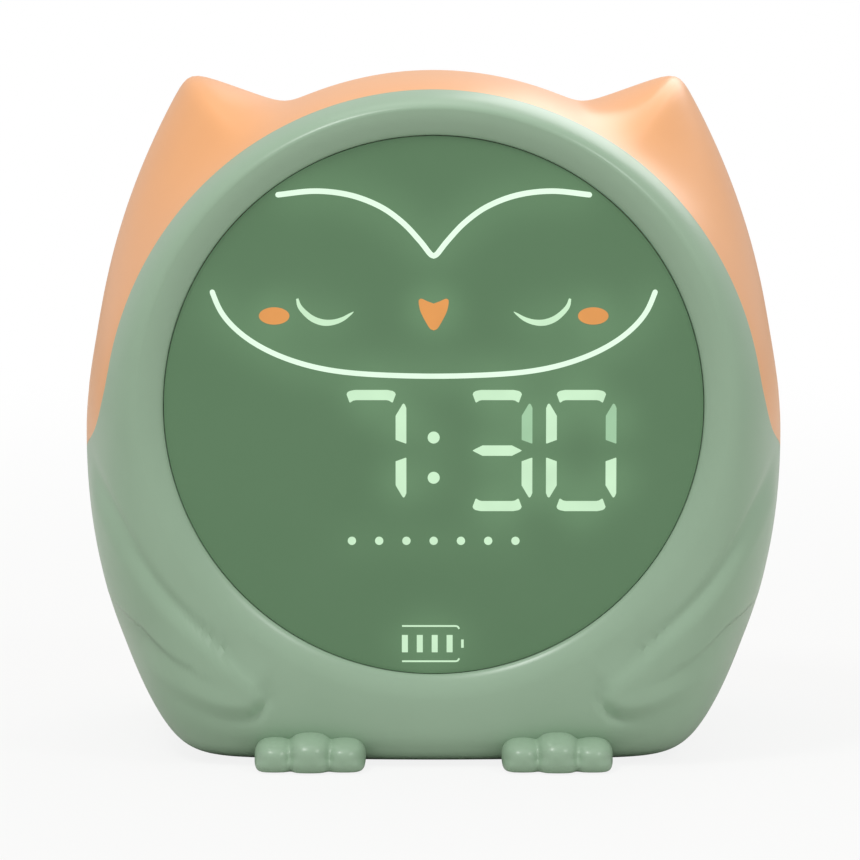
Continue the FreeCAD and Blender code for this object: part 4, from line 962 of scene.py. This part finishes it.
LIT = {1: ["top", "upper_right", "lower_right"],
       2: ["top", "middle", "bottom", "lower_right"],
       3: ["top", "bottom", "upper_left", "lower_left", "lower_right"]}
DIM = {2: ["upper_right"], 3: ["upper_right"]}


def digit_bar(bm, digit, bar):
    """One bar of a digit, by its name."""
    x = DIGIT_PLACES[digit]
    half = DIGIT_HEIGHT / 2
    if bar == "middle":
        flat_face(bm, [(x + a, DIGIT_LEVEL + b) for a, b in MIDDLE_BAR])
        return
    turn = -1 if bar in ("bottom", "lower_left", "lower_right") else 1
    if bar in ("top", "bottom"):
        flat_face(bm, [(x + a, DIGIT_LEVEL + turn * (half + b)) for a, b in LEVEL_BAR])
        return
    side = -1 if bar.endswith("left") else 1
    high = half - UPRIGHT_DROP
    flat_face(bm, [(x + side * (DIGIT_WIDTH / 2 + a), DIGIT_LEVEL + turn * (high + b))
                   for a, b in UPRIGHT_BAR])


for name, table, material in (("time_digits", LIT, clock_light), ("dim_bars", DIM, dim_light)):
    bm = bmesh.new()
    for digit, bars in table.items():
        for bar in bars:
            digit_bar(bm, digit, bar)
    if table is LIT:
        for level in COLON_LEVELS:
            dot(bm, 0.0, level, 2 * COLON_RADIUS, 2 * COLON_RADIUS)
    sign(name, bm, material)


# Day dots, one for each day of the week, and the charge sign: a thin open outline with a
# nub at its right end and four bars. They are windows of the same kind as the digits'.

CHARGE_LEFT = -6.05
CHARGE_RIGHT = 4.9
CHARGE_TOP = 27.2
CHARGE_LOW = 20.4
CHARGE_LINE = 0.34
CHARGE_BARS = [-5.5, -2.65, 0.2, 3.05]
CHARGE_BAR = (1.15, 3.35)
CHARGE_NUB = (0.5, 1.6)
CHARGE_NUB_PLACE = CHARGE_RIGHT + 0.6
CHARGE_CORNER = [(-0.65, 0.0), (-0.3, 0.1), (0.0, 0.55)]
UNIT_SQUARE = [(-0.5, -0.5), (0.5, -0.5), (0.5, 0.5), (-0.5, 0.5)]
DAYS = 7

bm = bmesh.new()
for day in range(DAYS):
    dot(bm, (day - DAYS // 2) * DAY_SPACING, DAY_LEVEL, 2 * DAY_RADIUS, 2 * DAY_RADIUS)
middle = (CHARGE_TOP + CHARGE_LOW) / 2
for level, turn in ((CHARGE_TOP, -1), (CHARGE_LOW, 1)):
    line = [Vector((CHARGE_LEFT, level))]
    line += [Vector((CHARGE_RIGHT + a, level + turn * b)) for a, b in CHARGE_CORNER]
    band(bm, line, [CHARGE_LINE] * len(line))
for x, (wide, tall) in [(x, CHARGE_BAR) for x in CHARGE_BARS] + [(CHARGE_NUB_PLACE, CHARGE_NUB)]:
    flat_face(bm, [(x + a * wide, middle + b * tall) for a, b in UNIT_SQUARE])
sign("day_dots_and_charge", bm, clock_light)


# Face disc: a green smoked acrylic lens, cut from sheet with a polished face and a broken
# edge. Light from the signs spreads a little in it, which shows as a soft glow round them.

LENS_FRONT = -43.0
LENS_THICKNESS = 3.0
LENS_RINGS = 64
LENS_EDGE = 0.15
LENS_EDGE_MIDDLE = 0.04
LENS_CLOUD_MM = 18
GLOW_REACH = 4.5
GLOW_SEARCH = 2.5 * GLOW_REACH
GLOW_FULL_AREA = 14.0
GLOW_STRENGTH = 0.12

side = [(0.0, LENS_THICKNESS), (0.0, LENS_EDGE), (LENS_EDGE_MIDDLE, LENS_EDGE_MIDDLE), (LENS_EDGE, 0.0)]
rings = [face_ring(LENS_RADIUS - inset, LENS_FRONT + back, ANGLES[::2]) for inset, back in side]
for ring in range(1, LENS_RINGS):
    rings.append(face_ring((LENS_RADIUS - LENS_EDGE) * (1 - ring / LENS_RINGS), LENS_FRONT, ANGLES[::2]))
bm, edges = ring_shell(rings)
bmesh.ops.contextual_create(bm, geom=edges)
rim = [item for item in bm.edges if item.is_boundary]
bmesh.ops.contextual_create(bm, geom=rim)
bmesh.ops.recalc_face_normals(bm, faces=bm.faces)
sign_tree = KDTree(len(glow_points))
for index, (place, _) in enumerate(glow_points):
    sign_tree.insert(place, index)
sign_tree.balance()
glow = bm.verts.layers.float.new("sign_glow")
for corner in bm.verts:
    total = sum(glow_points[index][1] * math.exp(-(away / GLOW_REACH) ** 2)
                for _, index, away in sign_tree.find_range(corner.co, GLOW_SEARCH))
    corner[glow] = 1 - math.exp(-total / GLOW_FULL_AREA)

# Smoked acrylic under a silky hard coat: an even deep green that reflects the room softly
smoked_acrylic, tree = blank_material("green_smoked_acrylic")
place = node(tree, "ShaderNodeTexCoord").outputs["Object"]
spread = node(tree, "ShaderNodeAttribute", attribute_name="sign_glow")
cloud = node(tree, "ShaderNodeTexNoise", {
    "Vector": place, "Scale": 1 / (LENS_CLOUD_MM * MM), "Detail": 2.0})
tint = node(tree, "ShaderNodeMix", {"Factor": cloud.outputs[0]}, data_type="RGBA")
tint.inputs[6].default_value = linear("#5F8560")
tint.inputs[7].default_value = linear("#638864")
light = node(tree, "ShaderNodeMapRange", {
    "Value": spread.outputs["Fac"], "To Min": 0.0, "To Max": GLOW_STRENGTH})
disc = node(tree, "ShaderNodeBsdfPrincipled", {
    "Base Color": tint.outputs[2], "Roughness": 0.32, "IOR": 1.49,
    "Emission Color": linear("#A8D8A8"), "Emission Strength": light.outputs[0]})
node(tree, "ShaderNodeOutputMaterial", {"Surface": disc.outputs[0]})
lens = finished("face_disc", bm, smoked_acrylic)
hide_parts("face_lens")


# Keys at the back: five round buttons with a gently crowned cap, a flange that keeps each in
# its hole, and a stem that presses the switch below.

BUTTON_PROUD = 1.2
BUTTON_FLANGE = 1.0
BUTTON_CROWN = 0.25
BUTTON_ROUND = 0.5
BUTTON_LIP = 1.1
ROUND_STEPS = 5
CROWN_STEPS = 6
STEM_RADIUS = 1.6
STEM_START = 44.5
PANEL_INSIDE = 47.6
KEY_NAMES = ("set", "alarm", "light", "minus", "plus")

# Green ABS from a coarser mould: duller and a touch deeper than the housings
key_abs = moulded_abs("green_key_abs", "#9AB79B", "#95B297", 0.42)
top = BACK_PANEL + BUTTON_PROUD
flange = PANEL_INSIDE - HOLE_GAP - BUTTON_FLANGE
shoulder = top - BUTTON_CROWN - BUTTON_ROUND
r = BUTTON_DIAMETER / 2
profile = [(0, STEM_START), (STEM_RADIUS, STEM_START), (STEM_RADIUS, flange), (r + BUTTON_LIP, flange),
           (r + BUTTON_LIP, flange + BUTTON_FLANGE), (r, flange + BUTTON_FLANGE), (r, shoulder)]
for step in range(1, ROUND_STEPS + 1):
    turn = step * math.pi / (2 * ROUND_STEPS)
    profile.append((r - BUTTON_ROUND * (1 - math.cos(turn)), shoulder + BUTTON_ROUND * math.sin(turn)))
for step in range(1, CROWN_STEPS + 1):
    share = 1 - step / CROWN_STEPS
    profile.append(((r - BUTTON_ROUND) * share, top - BUTTON_CROWN * share ** 2))
for name, x in zip(KEY_NAMES, BUTTON_PLACES):
    bm = bmesh.new()
    turned(bm, profile, (x, 0, BUTTON_LEVEL), (0, 1, 0), 48)
    closed_up(bm)
    key = finished(name + "_cap", bm, key_abs, name + "_key", 60)
    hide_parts(name + "_button")


# Power slider: a small white knob with three grip ribs, which slides in its slot.

SLIDER_LOW = 41.7
SLIDER_PROUD = 1.2
RIB_SPACING = 0.7
RIB_HALF = 0.12
RIB_DEPTH = 0.22
KNOB_ROUND = 0.2

# White nylon as moulded: nearly matt, faintly warm
white_nylon = moulded_abs("white_nylon", "#EDEDEA", "#E6E6E2", 0.45)
bm = bmesh.new()
high = BACK_PANEL + SLIDER_PROUD
knob = bmesh.ops.create_cube(bm, size=1.0)["verts"]
bmesh.ops.scale(bm, vec=(SLIDER_SIZE[0], high - SLIDER_LOW, SLIDER_SIZE[1]), verts=knob)
bmesh.ops.translate(bm, vec=(SLIDER_PLACE, (high + SLIDER_LOW) / 2, CONTROL_LEVEL), verts=knob)
for rib in (-1, 0, 1):
    for side in (-1, 1):
        bmesh.ops.bisect_plane(bm, geom=list(bm.verts) + list(bm.edges) + list(bm.faces), plane_no=(1, 0, 0),
                               plane_co=(SLIDER_PLACE + rib * RIB_SPACING + side * RIB_HALF, 0, 0))
grooves = []
for face in bm.faces:
    middle = face.calc_center_median()
    offset = abs((middle.x - SLIDER_PLACE) / RIB_SPACING)
    if middle.y > high - 0.01 and min(abs(offset - k) for k in (0, 1)) < 0.1:
        grooves.append(face)
sunk = bmesh.ops.extrude_discrete_faces(bm, faces=grooves)["faces"]
for face in sunk:
    bmesh.ops.translate(bm, vec=(0, -RIB_DEPTH, 0), verts=face.verts)
outer = [e for e in bm.edges if len(e.link_faces) == 2 and e.calc_face_angle() > 1.2
         and all(v.co.y > high - 0.01 for v in e.verts) and abs(e.verts[0].co.z - e.verts[1].co.z) < 0.01]
bmesh.ops.bevel(bm, geom=outer, offset=KNOB_ROUND, affect="EDGES", segments=3, profile=0.5, material=-1)
closed_up(bm)
slider = finished("slide_knob", bm, white_nylon, "power_knob", 30)
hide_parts("power_slider")


# Everything inside the case keeps its own shape and gets its own finish: solder-masked boards,
# plated metal, white connectors, the shrink-wrapped cell, leads and the ribbon.

PLAIN_GLOSS_RANGE = 0.06
DEEPER_TONE = 0.85


def moulded_plastic(name, colour, roughness, patch=3.0):
    """Plain moulded or coated part with a slight unevenness of tone and gloss."""
    material, tree = blank_material(name)
    place = node(tree, "ShaderNodeTexCoord").outputs["Object"]
    patches = node(tree, "ShaderNodeTexNoise", {
        "Vector": place, "Scale": 1 / (patch * MM), "Detail": 3.0})
    base = linear(colour)
    tones = node(tree, "ShaderNodeMix", {"Factor": patches.outputs[0]}, data_type="RGBA")
    tones.inputs[6].default_value = [c * DEEPER_TONE for c in base[:3]] + [1]
    tones.inputs[7].default_value = base
    gloss = node(tree, "ShaderNodeMapRange", {
        "Value": patches.outputs[0], "To Min": roughness - PLAIN_GLOSS_RANGE,
        "To Max": roughness + PLAIN_GLOSS_RANGE})
    plastic = node(tree, "ShaderNodeBsdfPrincipled", {
        "Base Color": tones.outputs[2], "Roughness": gloss.outputs[0]})
    node(tree, "ShaderNodeOutputMaterial", {"Surface": plastic.outputs[0]})
    return material


FINISHES = [
    # Connectors, clamp and pins: plain white mouldings
    (white_nylon, ["battery_clamp", "lead_sockets", "lead_plugs", "ribbon_sockets"]
     + [name + "_plunger" for name in KEY_NAMES]),
    # Foam and film: the foam drinks the light, the film is milky
    (moulded_plastic("black_foam_tape", "#242424", 0.9), ["lens_tape", "speaker_gasket"]),
    (moulded_plastic("frosted_polyester", "#E2E6E2", 0.55), ["diffuser_film"]),
    # Opaque black, so that no light leaks between the signs
    (moulded_plastic("black_moulded_abs", "#26272A", 0.5), ["icon_light_box", "switch_bodies"]),
    # Boards: a glossy deep green lacquer; lights in clear resin
    (moulded_plastic("green_solder_mask", "#1E5B3A", 0.35), ["display_board", "main_board"]),
    (moulded_plastic("clear_led_resin", "#EFEBD6", 0.2), ["display_leds", "night_light_leds"]),
    # Metal: zinc is cloudy, tin bright, drawn and pressed cans greyer
    (zinc_plate, ["display_screws", "board_screws", "speaker_screws", "clamp_screws"]),
    (plated_steel("tinned_steel", "#D5D6D8", 0.25), ["power_switch", "usb_socket", "clock_crystal"]),
    (plated_steel("drawn_aluminium_can", "#DCDDE0", 0.3), ["supply_capacitor"]),
    (plated_steel("pressed_steel_basket", "#A9ABAD", 0.4), ["speaker_basket"]),
    (plated_steel("nickel_plated_magnet", "#9A9B9E", 0.35), ["speaker_magnet"]),
    # Chip, cone, cell and leads: dull epoxy, fibrous paper, tight shiny sleeves
    (moulded_plastic("black_chip_epoxy", "#1B1B1D", 0.6), ["clock_chip"]),
    (moulded_plastic("doped_paper_cone", "#3A3835", 0.85), ["speaker_cone"]),
    (moulded_plastic("blue_shrink_sleeve", "#2F6FB0", 0.3), ["battery_cell"]),
    (moulded_plastic("red_lead_insulation", "#B32B2B", 0.4), ["battery_lead", "speaker_lead"]),
    (moulded_plastic("white_ribbon_film", "#E4E3DE", 0.35), ["display_ribbon"]),
]
for material, names in FINISHES:
    for name in names:
        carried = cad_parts[name]
        if not carried.material_slots:
            carried.data.materials.append(material)
        for slot in carried.material_slots:
            slot.material = material
